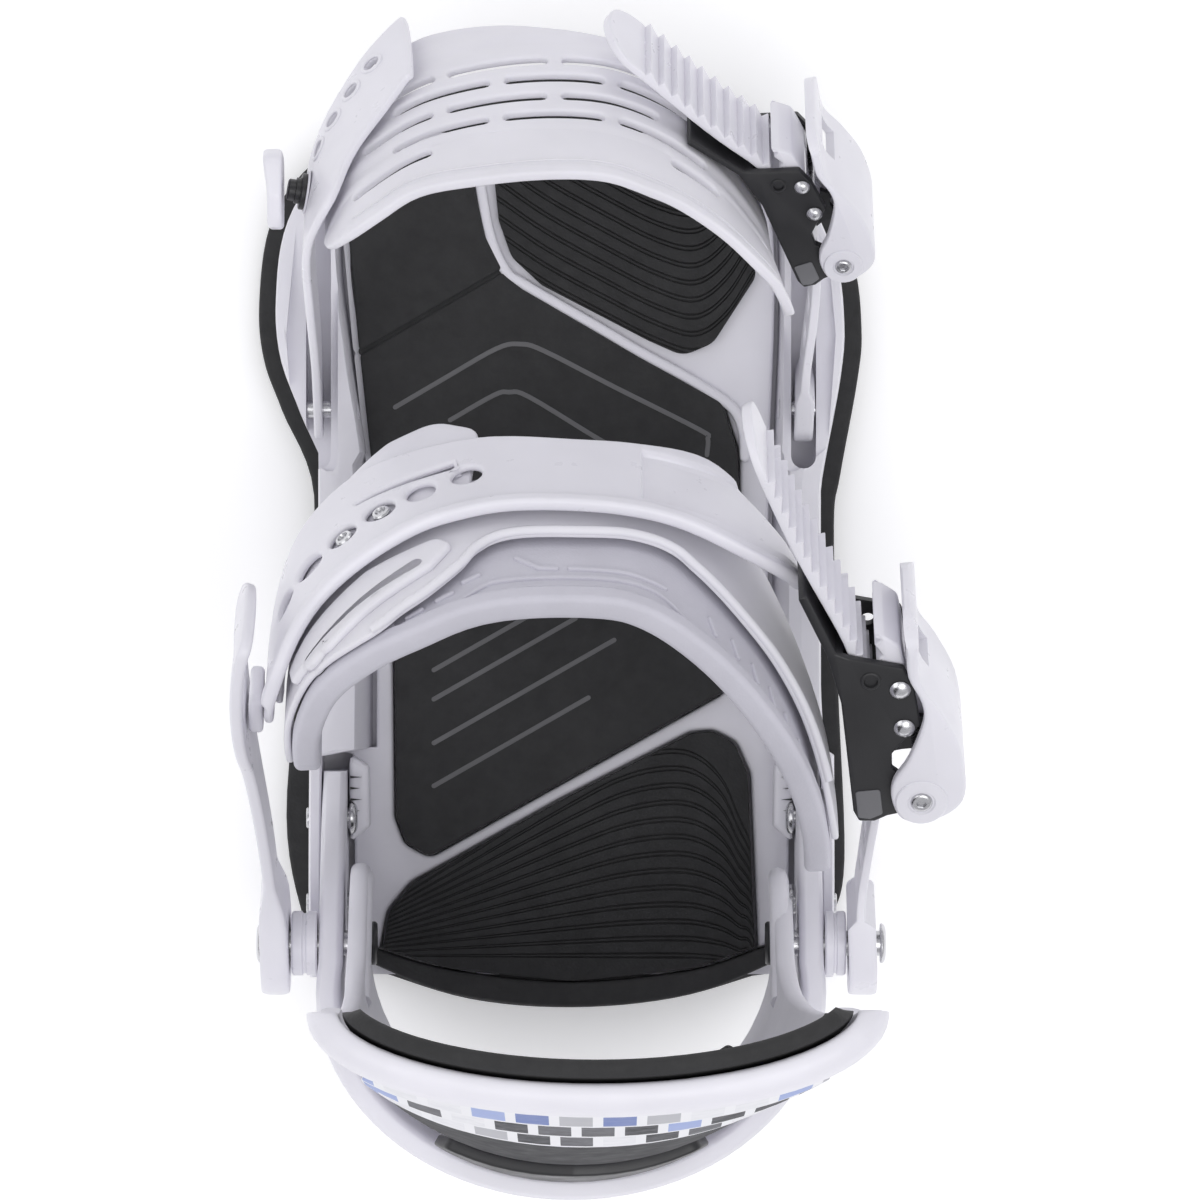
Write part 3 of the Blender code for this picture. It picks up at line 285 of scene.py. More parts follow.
def catmull(points, steps, closed=False):
    """Smooth line through the points, in any number of dimensions."""
    n = len(points)
    first = tuple(2 * a - b for a, b in zip(points[0], points[1]))
    last = tuple(2 * a - b for a, b in zip(points[-1], points[-2]))

    def get(i):
        if closed:
            return points[i % n]
        return first if i < 0 else last if i >= n else points[i]

    out = []
    for i in range(n if closed else n - 1):
        quad = [get(i + k) for k in (-1, 0, 1, 2)]
        for k in range(steps):
            t = k / steps
            out.append(tuple(0.5 * (2 * b + (c - a) * t + (2 * a - 5 * b + 4 * c - d) * t * t
                                    + (3 * b - a - 3 * c + d) * t**3) for a, b, c, d in zip(*quad)))
    return out if closed else out + [tuple(points[-1])]


def rounded(points, radius, steps=5):
    """Closed outline whose corners are arcs; radius is one number or one for each corner."""
    out, n = [], len(points)
    for i, (x, y) in enumerate(points):
        r = radius[i] if isinstance(radius, (list, tuple)) else radius
        (px, py), (qx, qy) = points[i - 1], points[(i + 1) % n]
        ax, ay, bx, by = px - x, py - y, qx - x, qy - y
        la, lb = math.hypot(ax, ay), math.hypot(bx, by)
        ax, ay, bx, by = ax / la, ay / la, bx / lb, by / lb
        half = math.acos(max(-1, min(1, ax * bx + ay * by))) / 2
        if r <= 0 or half > 1.5:
            out.append((x, y))
            continue
        reach = min(r / math.tan(half), 0.48 * la, 0.48 * lb)
        for k in range(steps + 1):
            t = k / steps
            a, b = (1 - t) ** 2, t**2
            out.append((x + reach * (a * ax + b * bx), y + reach * (a * ay + b * by)))
    return out


def arc(r, first, last, step):
    """Points at radius r about the origin, from one angle to another in degrees."""
    return [(r * math.cos(math.radians(v)), r * math.sin(math.radians(v))) for v in range(first, last, step)]


def circle(cx, cy, r, n=32, ry=None):
    return [(cx + r * math.cos(2 * math.pi * k / n), cy + (ry or r) * math.sin(2 * math.pi * k / n))
            for k in range(n)]


def stadium(x0, y0, x1, y1, r, n=10):
    """Slot outline round the segment from (x0, y0) to (x1, y1)."""
    turn = math.atan2(y1 - y0, x1 - x0)
    return [(cx + r * math.cos(start + math.pi * k / n), cy + r * math.sin(start + math.pi * k / n))
            for cx, cy, start in ((x1, y1, turn - math.pi / 2), (x0, y0, turn + math.pi / 2))
            for k in range(n + 1)]


def band(line, half):
    """Outline of a stripe of this half width along an open line, with round ends."""
    sides = ([], [])
    for i, (x, y) in enumerate(line):
        (ax, ay), (bx, by) = line[max(0, i - 1)], line[min(len(line) - 1, i + 1)]
        size = math.hypot(bx - ax, by - ay)
        nx, ny = -(by - ay) / size * half, (bx - ax) / size * half
        sides[0].append((x + nx, y + ny))
        sides[1].append((x - nx, y - ny))

    def cap(at, before):
        turn = math.atan2(at[1] - before[1], at[0] - before[0])
        angles = [turn + math.radians(v) for v in (60, 30, 0, -30, -60)]
        return [(at[0] + half * math.cos(a), at[1] + half * math.sin(a)) for a in angles]

    return sides[0] + cap(line[-1], line[-2]) + sides[1][::-1] + cap(line[0], line[1])


def along(table, at):
    """Value at a station on a smooth line through the entries of a short table."""
    i = ordered.bisect_right([k for k, _ in table], at)
    if i == 0:
        return table[0][1]
    if i == len(table):
        return table[-1][1]
    (a, va), (b, vb) = table[i - 1], table[i]

    def slope(j):
        lo, hi = max(0, j - 1), min(len(table) - 1, j + 1)
        return (table[hi][1] - table[lo][1]) / (table[hi][0] - table[lo][0])

    t, span = (at - a) / (b - a), b - a
    return ((2 * t**3 - 3 * t**2 + 1) * va + (t**3 - 2 * t**2 + t) * span * slope(i - 1)
            + (-2 * t**3 + 3 * t**2) * vb + (t**3 - t**2) * span * slope(i))


def ease(x):
    """Smooth rise from 0 at x = 0 to 1 at x = 1."""
    x = max(0.0, min(1.0, x))
    return x * x * (3 - 2 * x)


def evenly(low, high, step):
    """Stations from low to high, about a step apart."""
    count = max(1, round((high - low) / step))
    return [low + (high - low) * k / count for k in range(count + 1)]


# ---- meshes -------------------------------------------------------------------------------


def finished(name, bm, skin, body, smooth=38):
    """Object from a bmesh in metres: outward normals, smooth shading, sharp corners kept. Without a
    skin it is a cutter, which carve() uses up."""
    bmesh.ops.remove_doubles(bm, verts=bm.verts, dist=1e-7)
    bmesh.ops.recalc_face_normals(bm, faces=bm.faces)
    if bm.calc_volume(signed=True) < 0:
        bmesh.ops.reverse_faces(bm, faces=bm.faces)
    mesh = bpy.data.meshes.new(name)
    bm.to_mesh(mesh)
    bm.free()
    made = bpy.data.objects.new(name, mesh)
    bpy.context.scene.collection.objects.link(made)
    mesh.shade_smooth()
    mesh.set_sharp_from_angle(angle=math.radians(smooth))
    if skin is None:
        made.hide_render = True
        return made
    return riding(made, skin, body)


def riding(made, skin, body):
    """Gives a piece its material, its body and the material slot that goes with the material."""
    made.data.materials.append(skin)
    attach(made, body)
    return made


def plate_mesh(outline, holes, thick, edge, fine=2):
    """Flat plate in millimetres about z = 0, its edges rounded, with holes through it."""
    curve = bpy.data.curves.new("outline", "CURVE")
    curve.dimensions = "2D"
    curve.fill_mode = "BOTH"
    curve.extrude = thick / 2 - edge
    curve.bevel_depth = edge
    curve.bevel_resolution = fine
    curve.offset = -edge
    for ring in (outline, *holes):
        line = curve.splines.new("POLY")
        line.points.add(len(ring) - 1)
        for point, (x, y) in zip(line.points, ring):
            point.co = (x, y, 0, 1)
        line.use_cyclic_u = True
    holder = bpy.data.objects.new("outline", curve)
    bpy.context.scene.collection.objects.link(holder)
    graph = bpy.context.evaluated_depsgraph_get()
    mesh = bpy.data.meshes.new_from_object(holder.evaluated_get(graph))
    bm = bmesh.new()
    bm.from_mesh(mesh)
    bpy.data.objects.remove(holder, do_unlink=True)
    bpy.data.curves.remove(curve)
    bpy.data.meshes.remove(mesh)
    bmesh.ops.remove_doubles(bm, verts=bm.verts, dist=1e-4)
    return bm


def plate(name, outline, put, low, high, skin, body, edge=0.5, holes=(), cuts=(), across=(), fine=2,
          thick=None):
    """Plate drawn in (s, w), cut at stations and placed by put(s, w, n). low and high give n on
    its two faces, as numbers or as functions of (s, w)."""
    thick = thick or (2.0 if callable(low) or callable(high) else high - low)
    edge = min(edge, 0.49 * thick)
    bm = plate_mesh(outline, holes, thick, edge, fine)
    for stations, axis in ((cuts, 0), (across, 1)):
        for at in stations:
            co, no = [0, 0, 0], [0, 0, 0]
            co[axis], no[axis] = at, 1
            bmesh.ops.bisect_plane(bm, geom=bm.verts[:] + bm.edges[:] + bm.faces[:], dist=1e-4,
                                   plane_co=co, plane_no=no)
    if cuts or across:
        bmesh.ops.triangulate(bm, faces=bm.faces)
    for vert in bm.verts:
        s, w, z = vert.co
        n0 = low(s, w) if callable(low) else low
        n1 = high(s, w) if callable(high) else high
        vert.co = [MM * v for v in put(s, w, n0 + (n1 - n0) * (z / thick + 0.5))]
    return finished(name, bm, skin, body)


def flat(s, w, n):
    return s, w, n


def across_x(s, w, n):
    return n, s, w


def loft(name, rings, skin, body, smooth=38, half=0):
    """Closed rings of equal length in millimetres, joined in order, with flat ends. half splits
    each end of a U section into its two legs, of that many points, and the floor between them."""
    bm = bmesh.new()
    rows = [[bm.verts.new([MM * v for v in p]) for p in ring] for ring in rings]
    n = len(rows[0])
    for a, b in zip(rows, rows[1:]):
        for i in range(n):
            bm.faces.new((a[i], a[(i + 1) % n], b[(i + 1) % n], b[i]))
    ends = []
    for row in (rows[0], rows[-1][::-1]):
        if half:
            ends.append(bm.faces.new(row[:half]))
            ends.append(bm.faces.new(row[half:]))
            ends.append(bm.faces.new((row[0], row[half - 1], row[half], row[-1])))
        else:
            ends.append(bm.faces.new(row))
    bmesh.ops.triangulate(bm, faces=ends, ngon_method="EAR_CLIP")
    return finished(name, bm, skin, body, smooth)


def turned(name, start, end, radii, skin, body, n=32, smooth=32):
    """Round piece from start to end in millimetres: radii is a list of (distance, radius), which
    may turn back into a recess; it starts and ends on the axis."""
    a, b = Vector(start), Vector(end)
    axis = (b - a).normalized()
    side = axis.orthogonal().normalized()
    up = axis.cross(side)
    bm = bmesh.new()
    rows = []
    for at, r in radii:
        centre = a + axis * at
        if r == 0:
            rows.append([bm.verts.new(centre * MM)])
            continue
        rows.append([bm.verts.new((centre + r * (side * math.cos(2 * math.pi * k / n)
                                                 + up * math.sin(2 * math.pi * k / n))) * MM)
                     for k in range(n)])
    for p, q in zip(rows, rows[1:]):
        for i in range(n):
            ring = [p[i % len(p)], p[(i + 1) % len(p)], q[(i + 1) % len(q)], q[i % len(q)]]
            ring = [v for j, v in enumerate(ring) if v not in ring[:j]]
            if len(ring) > 2:
                bm.faces.new(ring)
    return finished(name, bm, skin, body, smooth)


def bore(name, start, end, r, body, n=24):
    """Round cutter from start to end."""
    length = (Vector(end) - Vector(start)).length
    return turned(name, start, end, [(0, 0), (0, r), (length, r), (length, 0)], None, body, n=n)


def rod(name, start, end, r, skin, body, soft=0.3):
    """Plain round bar with slightly rounded ends."""
    length = (Vector(end) - Vector(start)).length
    radii = [(0, 0), (0, r - soft), (soft * 0.3, r - soft * 0.3), (soft, r), (length - soft, r),
             (length - soft * 0.3, r - soft * 0.3), (length, r - soft), (length, 0)]
    return turned(name, start, end, radii, skin, body)


def head(name, start, end, shank, reach, r, high, socket, skin, body, sides=6):
    """Screw from start to end: a shank as far as reach, then a domed head of radius r and height
    high, with a driver recess."""
    top = (Vector(end) - Vector(start)).length
    radii = [(0, 0), (0, shank - 0.3), (0.3, shank), (reach, shank), (reach, r - 0.2), (reach + 0.3, r)]
    radii += [(top - high * (1 - math.sin(a)), r * (0.62 + 0.38 * math.cos(a)))
              for a in (math.radians(15 * k) for k in range(7))]
    radii.append((top, 0))
    made = turned(name, start, end, radii, skin, body)
    axis = (Vector(end) - Vector(start)).normalized()
    tip = Vector(end) + axis * 0.5
    seat = Vector(end) - axis * socket * 0.8
    cutter = turned(name + "_driver", seat, tip, [(0, 0), (0, socket), (socket * 0.8 + 0.5, socket),
                                                  (socket * 0.8 + 0.5, 0)], None, body, n=sides)
    return carve(made, cutter)


def carve(target, *cutters, operation="DIFFERENCE"):
    """Cuts or joins with other meshes, then applies it and removes them."""
    for cutter in cutters:
        step = target.modifiers.new(cutter.name, "BOOLEAN")
        step.object = cutter
        step.operation = operation
        step.solver = "EXACT"
        graph = bpy.context.evaluated_depsgraph_get()
        mesh = bpy.data.meshes.new_from_object(target.evaluated_get(graph))
        target.modifiers.clear()
        old = target.data
        target.data = mesh
        bpy.data.meshes.remove(old)
        bpy.data.objects.remove(cutter, do_unlink=True)
    target.data.shade_smooth()
    target.data.set_sharp_from_angle(angle=math.radians(30))
    return target


def soften(piece, width, angle=32, segments=2):
    """Rounds the remaining sharp edges."""
    step = piece.modifiers.new("edges", "BEVEL")
    step.width = width * MM
    step.segments = segments
    step.limit_method = "ANGLE"
    step.angle_limit = math.radians(angle)
    step.use_clamp_overlap = True
    step.miter_outer = "MITER_ARC"
    return piece


def tube(name, points, r, skin, body):
    """Round bead along a line of points in millimetres."""
    curve = bpy.data.curves.new(name, "CURVE")
    curve.dimensions = "3D"
    curve.bevel_depth = r * MM
    curve.bevel_resolution = 2
    curve.use_fill_caps = True
    line = curve.splines.new("POLY")
    line.points.add(len(points) - 1)
    for point, p in zip(line.points, points):
        point.co = (*(MM * v for v in p), 1)
    made = bpy.data.objects.new(name, curve)
    bpy.context.scene.collection.objects.link(made)
    return riding(made, skin, body)


def to_line(line, x, y):
    """Distance from a point to an open line."""
    best = 1e9
    for (ax, ay), (bx, by) in zip(line, line[1:]):
        dx, dy = bx - ax, by - ay
        t = max(0.0, min(1.0, ((x - ax) * dx + (y - ay) * dy) / (dx * dx + dy * dy)))
        best = min(best, math.hypot(ax + t * dx - x, ay + t * dy - y))
    return best


def inset(ring, by):
    """Outline moved inwards by a distance, for rings without sharp hollows."""
    turn = sum(ax * by_ - bx * ay for (ax, ay), (bx, by_) in zip(ring, ring[1:] + ring[:1]))
    way = 1 if turn > 0 else -1
    out = []
    for i, (x, y) in enumerate(ring):
        (ax, ay), (bx, by_) = ring[i - 1], ring[(i + 1) % len(ring)]
        size = math.hypot(bx - ax, by_ - ay) or 1.0
        out.append((x - way * by * (by_ - ay) / size, y + way * by * (bx - ax) / size))
    return out


# ---- base -----------------------------------------------------------------------------------

OUTER_L = [(-104, -40), (-96, -57), (-84, -63), (-60, -67), (-20, -63.5), (15, -60.5), (35, -68),
           (47, -72.3), (60, -73.4), (78, -71), (91, -63), (102, -48), (109, -32)]
OUTER_R = [(-104, 40), (-96, 55), (-84, 61), (-70, 64), (-30, 62.5), (8, 61.5), (20, 63),
           (42, 67), (54, 68), (70, 66), (86, 58), (99, 45), (108, 31)]
RAIL_TOP = [(-97, 24), (-84, 34), (-60, 34), (-47, 30), (-20, 25), (20, 24), (48, 26), (80, 22), (90, 17),
            (100, 13)]
FOOT_L = [(-46, -46.5), (20, -47), (48, -51), (76, -53.4), (90, -47), (100, -38)]
FOOT_R = [(-46, 46.5), (20, 47), (76, 48), (90, 43), (100, 36)]
STEP = -45.6  # behind this the base is open for the heel cup's arms
WEB_TOP = FOOTBED - 2.6


def sole_outline():
    left = catmull([(x, y) for y, x in OUTER_L[1:]], 6)
    right = catmull([(x, y) for y, x in OUTER_R[1:]], 6)[::-1]
    toe = [(16, 112.5), (0, 113.5), (-16, 112.5)]
    heel = catmull([(46, -96.5), (24, -102.8), (0, -105), (-24, -103), (-47, -96)], 6)
    return left + toe[::-1] + right + heel[1:-1]


def base_section(y):
    """Cross section of the base: low flange, rounded rail, sloped inner wall, floor, and back up."""
    heel = y <= STEP
    left = -RAIL_WALL - 3.0 if heel else min(-RAIL_WALL - 1, along(OUTER_L, y) + 4.2)
    right = RAIL_WALL + 3.0 if heel else max(RAIL_WALL, along(OUTER_R, y) - 4.2)
    if y > 85:
        left, right = along(OUTER_L, y) + 5, along(OUTER_R, y) - 5
    top = along(RAIL_TOP, y)
    half = []
    for side, rail, foot in ((-1, -left, -along(FOOT_L, y)), (1, right, along(FOOT_R, y))):
        inner = foot + 1.8 + (2 if y < 25 else 0)
        if heel:
            foot, inner = RAIL_WALL - 0.4, RAIL_WALL
        lip = 1.1 if heel else 2.2
        crown = 0.0 if heel or rail - lip - inner < 4 else 0.8
        ring = [(rail - 0.8, 6.0), (rail, 8.0), (rail - 0.2, (8 + top) / 2), (rail - 0.6, top - 2),
                (rail - 0.9, top - 0.8), (rail - lip, top),
                ((rail - lip + inner) / 2, top + crown), (inner, top), (inner - 0.5, top - 0.8),
                ((inner * 0.6 + foot * 0.4) - 0.3, top - 0.35 * (top - 9.3)),
                (foot, 9.3), (foot - 1.2, 9.0)]
        half.append([(side * x, y, z) for x, z in ring])
    return half[0] + half[1][::-1]


def make_base():
    hole = circle(0, 0, DISC_HOLE, 64)
    sole = plate("sole_pad", sole_outline(), flat, 0, SOLE_TOP, RUBBERED, "base", 1.0, [hole])
    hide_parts("base_bushing")

    ys = evenly(-97, STEP, 3.2) + evenly(STEP + 1.6, 100, 3.0)
    base = loft("base_shell", [base_section(y) for y in ys], SHELL, "base", half=12)
    cutters = [plate("disc_bore", hole, flat, 0, 20, None, "base", 0.01)]
    for side in (-1, 1):
        x = TOE_X_L if side < 0 else TOE_X_R
        slot = stadium(side * x, 24, side * x, 84, 2.9, 8)
        cutters.append(plate(f"toe_slot_{side}", slot, flat, 10.5, 60, None, "base", 0.01))
        ends = (side * 44, TOE_Y, TOE_Z), (side * 75, TOE_Y, TOE_Z)
        cutters.append(bore(f"toe_bore_{side}", *ends, 2.4, "base", 20))
        pocket = rounded([(side * (x - 4.6), 18), (side * (x + 5.6), 26), (side * (x + 7.4), 52),
                          (side * (x + 4.4), 86), (side * (x - 4.6), 90)], 3, 4)
        cutters.append(plate(f"toe_pocket_{side}", pocket, flat, 22.9, 60, None, "base", 0.01))
        for y in ARM_BOLTS_Y:
            ends = (side * 40, y, ARM_BOLT_Z), (side * 75, y, ARM_BOLT_Z)
            cutters.append(bore(f"arm_bore_{side}_{y}", *ends, 2.9, "base", 20))
    carve(base, *cutters)
    soften(base, 0.7)
    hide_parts("baseplate")

    # white webs of the footbed that frame the four pads, and the ridge between the toe pads
    floor = [(along(FOOT_L, y) + 1.0, y) for y in evenly(STEP + 2, 96, 4)]
    floor += [(along(FOOT_R, y) - 1.0, y) for y in reversed(evenly(STEP + 2, 96, 4))]
    floor += [(54.5, STEP + 1), (51.2, STEP + 0.2), (50.8, -52), (50.4, -88.4)]
    bay = [(43.4, -90.6), (41.7, -49.8), (38.4, -42.3), (33.1, -39.6), (27.7, -40.0), (-3.3, -55.9),
           (-37.5, -75.0), (-43.1, -81.7), (-44.8, -90.9)]
    floor += rounded([(47, -89.4)] + bay + [(-48, -89.4)], [0, 0.6, 4, 4, 4, 5, 6, 6, 5, 0.6, 0], 6)
    floor += [(-50.4, -88.4), (-50.8, -52), (-51.2, STEP + 0.2), (-54.5, STEP + 1)]
    rings = [inset(PADS[name], -0.5) for name in ("toe_pad_right", "toe_pad_left", "disc_cover_pad")]
    plate("footbed_webs", floor, flat, 9.2, WEB_TOP, SHELL, "base", 0.9, rings)
    ridge = [(-21.3, 87.5), (-19, 75.4), (-15.3, 67.2), (-10.9, 64), (6.6, 53.9), (15.9, 48.4), (27.1, 42.3),
             (35.3, 37.2), (38.7, 33.8), (40.2, 29), (40.4, 24)]
    line = catmull(ridge, 5)
    plate("footbed_ridge", band(line, 1.3), flat, WEB_TOP - 3, FOOTBED - 0.2, SHELL, "base", 0.9)

    # index marks beside the heel cup arms, and the small black ticks between them
    for side, name in SIDES:
        corners = [(side * x, y) for x, y in ((51.6, -45), (47.0, -48), (46.8, -62), (51.6, -66))]
        notch = rounded(corners, 1.2, 3)
        plate(f"index_step_{name}", notch, flat, 9.3, 24.5, SHELL, "base", 1.2)
        rows = []
        for k in range(4):
            y = -50.5 - 2.6 * k
            rows.append([(side * 51.4, y - 0.3), (side * 51.4, y + 0.3), (side * (48.6 + 0.5 * (k % 2)), y)])
        plate(f"index_ticks_{name}", rows[0], flat, 24.4, 24.8, BLACK_NYLON, "base", 0.05, rows[1:])


HEEL_REAR = [(-28, -95.4), (0, -98.2), (28, -95.4)]  # rear edge of the heel pad
PADS = {
    "toe_pad_right": rounded([(-19, 98), (-17, 79), (-14, 70.5), (-7, 64), (18, 51), (26, 47.5), (33, 50.5),
                              (43, 66), (39, 88), (28, 99)], [3, 4, 6, 6, 8, 6, 6, 4, 6, 5], 6),
    "toe_pad_left": rounded([(-52, 76), (-44, 90), (-34, 97), (-23, 99), (-22.5, 86), (-20, 75),
                             (-16.2, 67.8), (-49.5, 48.4)], [4, 6, 6, 2, 2, 2, 1, 1], 6),
    "disc_cover_pad": rounded([(-49.3, 47.6), (-16.2, 66.8), (-11.5, 63), (16, 47), (35, 36.5), (38.7, 25),
                               (39, -20), (35, -31), (-33, -69), (-38.5, -66), (-40.8, -60), (-41.2, -20),
                               (-47, 26)], [1, 1, 3, 4, 4, 4, 4, 3, 3, 3, 3, 6, 6], 6),
    "heel_pad": rounded([(-44, -90.6), (-42.5, -82), (-37, -75.5), (-3, -56.5), (28, -40.6), (33, -40.2),
                         (38, -43), (41, -50), (42.6, -90.3)] + HEEL_REAR[::-1],
                        [1, 5, 5, 6, 3, 3, 4, 4, 1, 20, 30, 20], 6),
}


def heel_rib(f):
    """One groove of the heel pad, f from 0 at its front edge to 1: a fan that rises to the right
    and bends down at the far side."""
    start, crest, end = -79 - 14 * f, -43.5 - 51.5 * f, -66 - 30 * f
    rise = crest - start
    return catmull([(-47, start - 0.14 * rise), (-41, start), (-22, start + 0.34 * rise),
                    (0, start + 0.74 * rise), (12, start + 0.93 * rise), (22, crest),
                    (29, crest - 0.05 * (crest - end)), (35, crest - 0.3 * (crest - end)),
                    (39, crest - 0.7 * (crest - end)), (42, end), (47, end - 14)], 6)


def toe_rib(f):
    """One groove of the toe pad: down towards the inner side, then up along the outer edge."""
    return catmull([(-26, 76 + 37 * f), (-18, 71.5 + 36 * f), (-6, 63.5 + 35.5 * f), (8, 56 + 35 * f),
                    (20, 50 + 35 * f), (29, 47.5 + 36 * f), (36, 52 + 37 * f), (42, 61 + 38 * f),
                    (50, 74 + 40 * f)], 6)


def ribbed(name, ring, rib, count):
    """Pad top with a family of double grooves, clipped by the pad's outline."""
    profile = ((0.0, 0), (0.10, 0), (0.13, 1), (0.20, 1), (0.23, 0), (0.34, 0), (0.37, 1), (0.44, 1),
               (0.47, 0), (0.72, 0))
    rows = [(-0.5, 0), (-0.25, 0)]
    for k in range(count):
        rows += [((k + at) / count, deep) for at, deep in profile]
    rows += [(1.0, 0), (1.15, 0), (1.3, 0)]
    rings = []
    lines = [rib(f) for f, _ in rows]
    for i in range(len(lines[0])):
        upper = [(line[i][0], line[i][1], FOOTBED - 0.8 * deep) for line, (_, deep) in zip(lines, rows)]
        rings.append(upper + [(upper[-1][0], upper[-1][1], 5), (upper[0][0], upper[0][1], 5)])
    field = loft(name + "_field", rings, None, "base")
    pad = plate(name, ring, flat, PAD_LOW, FOOTBED + 0.001, RIBBED, "base", 0.35)
    return carve(pad, field, operation="INTERSECT")


def make_pads():
    for node, ring in PADS.items():
        if node == "heel_pad":
            made = ribbed("heel_ribs", ring, heel_rib, 13)
        elif node == "toe_pad_right":
            made = ribbed("toe_ribs", ring, toe_rib, 9)
        else:
            made = plate(node + "_foam", ring, flat, PAD_LOW, FOOTBED, RUBBERED, "base", 0.6)
        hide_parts(node)
    # a smooth black band finishes the footbed behind the heel pad, from one arm to the other
    front = [(x, y - 0.35) for x, y in [(-44.3, -90.9)] + HEEL_REAR + [(43, -90.7)]]
    band_ring = catmull([(-50.3, -88.8)] + front + [(50.3, -88.8)], 5)
    band_ring += catmull([(49.6, -92.8), (28, -101.2), (0, -104.2), (-28, -101.2), (-49.6, -92.8)], 5)
    trim = plate("heel_band", band_ring, flat, PAD_LOW, FOOTBED - 0.15, RUBBERED, "base", 0.7)
    plate("toe_pad_joint", band([(-48.6, 48.6), (-17.4, 66.6)], 1.1), flat, PAD_LOW, FOOTBED - 0.8,
          RUBBERED, "base", 0.2)
    # printed marks: two chevrons ahead of the disc and four slanting stripes behind it
    marks = [catmull([(-41.1, 35.5), (-30, 42), (-17.6, 49.1), (-12, 50.2), (-6.4, 48.6), (10, 40.2),
                      (29.9, 30.2), (31.7, 28.2), (31.5, 24.4)], 5),
             catmull([(-28.3, 32.5), (-18.1, 38.3), (-14.6, 39), (-9.9, 37.9), (6.6, 27.9), (14, 24)], 5)]
    marks += [[(-32.1, y), (-32.1 + reach, y + 0.571 * reach)]
              for y, reach in ((-25.7, 29.4), (-32.5, 33), (-42.7, 42), (-52.7, 36))]
    rings = [band(line, 0.55) for line in marks]
    plate("footbed_marks", rings[0], flat, FOOTBED - 0.3, FOOTBED + 0.07, INK, "base", 0.03, rings[1:])


# ---- heel cup and highback --------------------------------------------------------------------


def heel_path(t):
    """Plan of the heel cup band, t from 0 (left arm end) to 1: x, y and the outward direction."""
    arm, bend_y, depth = 0.27, -92.0, 47.0
    if t < arm or t > 1 - arm:
        side = -1 if t < 0.5 else 1
        u = (t if t < 0.5 else 1 - t) / arm
        return side * ARM_X, -49.0 + (bend_y + 49.0) * u, side, 0.0
    a = math.pi * (t - arm) / (1 - 2 * arm)
    c, s = math.cos(a), math.sin(a)
    ox, oy = -depth * c, -(ARM_X + 2.2) * s
    size = math.hypot(ox, oy)
    return -(ARM_X + 2.2 * s) * c, bend_y - depth * s, ox / size, oy / size


def make_heel_cup():
    rings = []
    for t in evenly(0, 0.27, 0.03) + evenly(0.28, 0.72, 0.01) + evenly(0.73, 1, 0.03):
        x, y, ox, oy = heel_path(t)
        top = along([(-139, 77), (-120, 71), (-100, 63), (-84, 57), (-72, 50), (-60, 41), (-49, 31)], y)
        bottom = along([(-139, 53), (-120, 45), (-105, 33), (-92, 20), (-82, 11.5)], y)
        flare = along([(-139, 3.2), (-105, 1.5), (-92, 0)], y)
        h = ARM_T / 2
        mid = (top + bottom) / 2
        crease = 0.9 * ease((-y - 96) / 16)
        section = [(-h + 0.9, bottom), (-h, bottom + 0.9), (-h + 0.2 * flare, mid - 2),
                   (-h + flare, top - 2.2), (-h + flare + 0.6, top - 0.8), (-h + flare + 1.4, top - 0.1),
                   (h + flare - 2.2, top), (h + flare - 1.1, top - 0.5), (h + flare - 0.4, top - 1.6),
                   (h + flare, top - 5), (h + flare * 0.45 + crease, mid + 0.5), (h, bottom + 4),
                   (h, bottom + 0.9), (h - 0.9, bottom)]
        rings.append([(x + ox * n, y + oy * n, z) for n, z in section])
    cup = loft("heel_cup_band", rings, SHELL, "heelcup")
    cutters = []
    for side, name in SIDES:
        for number, y in enumerate(ARM_BOLTS_Y, 1):
            slot = stadium(y - 3, ARM_BOLT_Z, y + 3, ARM_BOLT_Z, 3.1, 8)
            low, high = sorted((side * 40, side * 70))
            cutters.append(plate(f"arm_slot_{name}_{number}", slot, across_x, low, high, None, "heelcup",
                                 0.01))
        cutters.append(bore(f"cup_bore_{name}", (side * 40, PIVOT_Y, PIVOT_Z), (side * 80, PIVOT_Y, PIVOT_Z),
                            PIVOT_BORE, "heelcup"))
    carve(cup, *cutters)
    soften(cup, 0.5)
    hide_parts("heelcup")
    for side, name in SIDES:
        for number, y in enumerate(ARM_BOLTS_Y, 1):
            ends = (side * 61.6, y, ARM_BOLT_Z), (side * 49.6, y, ARM_BOLT_Z)
            bolt = head(f"arm_bolt_{name}_{number}", *ends, 2.5, 10.1, 4.6, 1.6, 1.9, STEEL, "base")
            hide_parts(f"heelcup_bolt_{name}_{number}")


def back_place(u, z, n):
    """Highback shell: u from -100 to 100 goes round from the left wing to the right, z is height
    and n is out from the outer face."""
    clear_of_cup = along([(40, -133.4), (55, -134.0), (80, -136.9)], z)
    rear = max(-113 - (BACK_TOP - z) * math.tan(LEAN), clear_of_cup)
    width = along([(60, 50.4), (80, 50.6), (115, 53.5), (150, 56.5), (200, 58.5), (230, 57.5)], z)
    depth = along([(60, 45), (80, 44), (120, 36), (160, 27), (190, 22), (230, 20)], z)
    ahead = along([(60, 18), (95, 17), (130, 8), (160, 2), (190, 0)], z)
    centre = along([(80, 0), (200, 6), (230, 6)], z)
    q = 74.0
    side = 1 if u > 0 else -1
    a = math.pi / 2 * min(abs(u), q) / q
    x, y = width * math.sin(a), rear + depth * (1 - math.cos(a))
    nx, ny = depth * math.sin(a), -width * math.cos(a)
    size = math.hypot(nx, ny)
    if abs(u) > q:
        y += ahead * (abs(u) - q) / (100 - q)
    return centre + side * (x + n * nx / size), y + n * ny / size, z


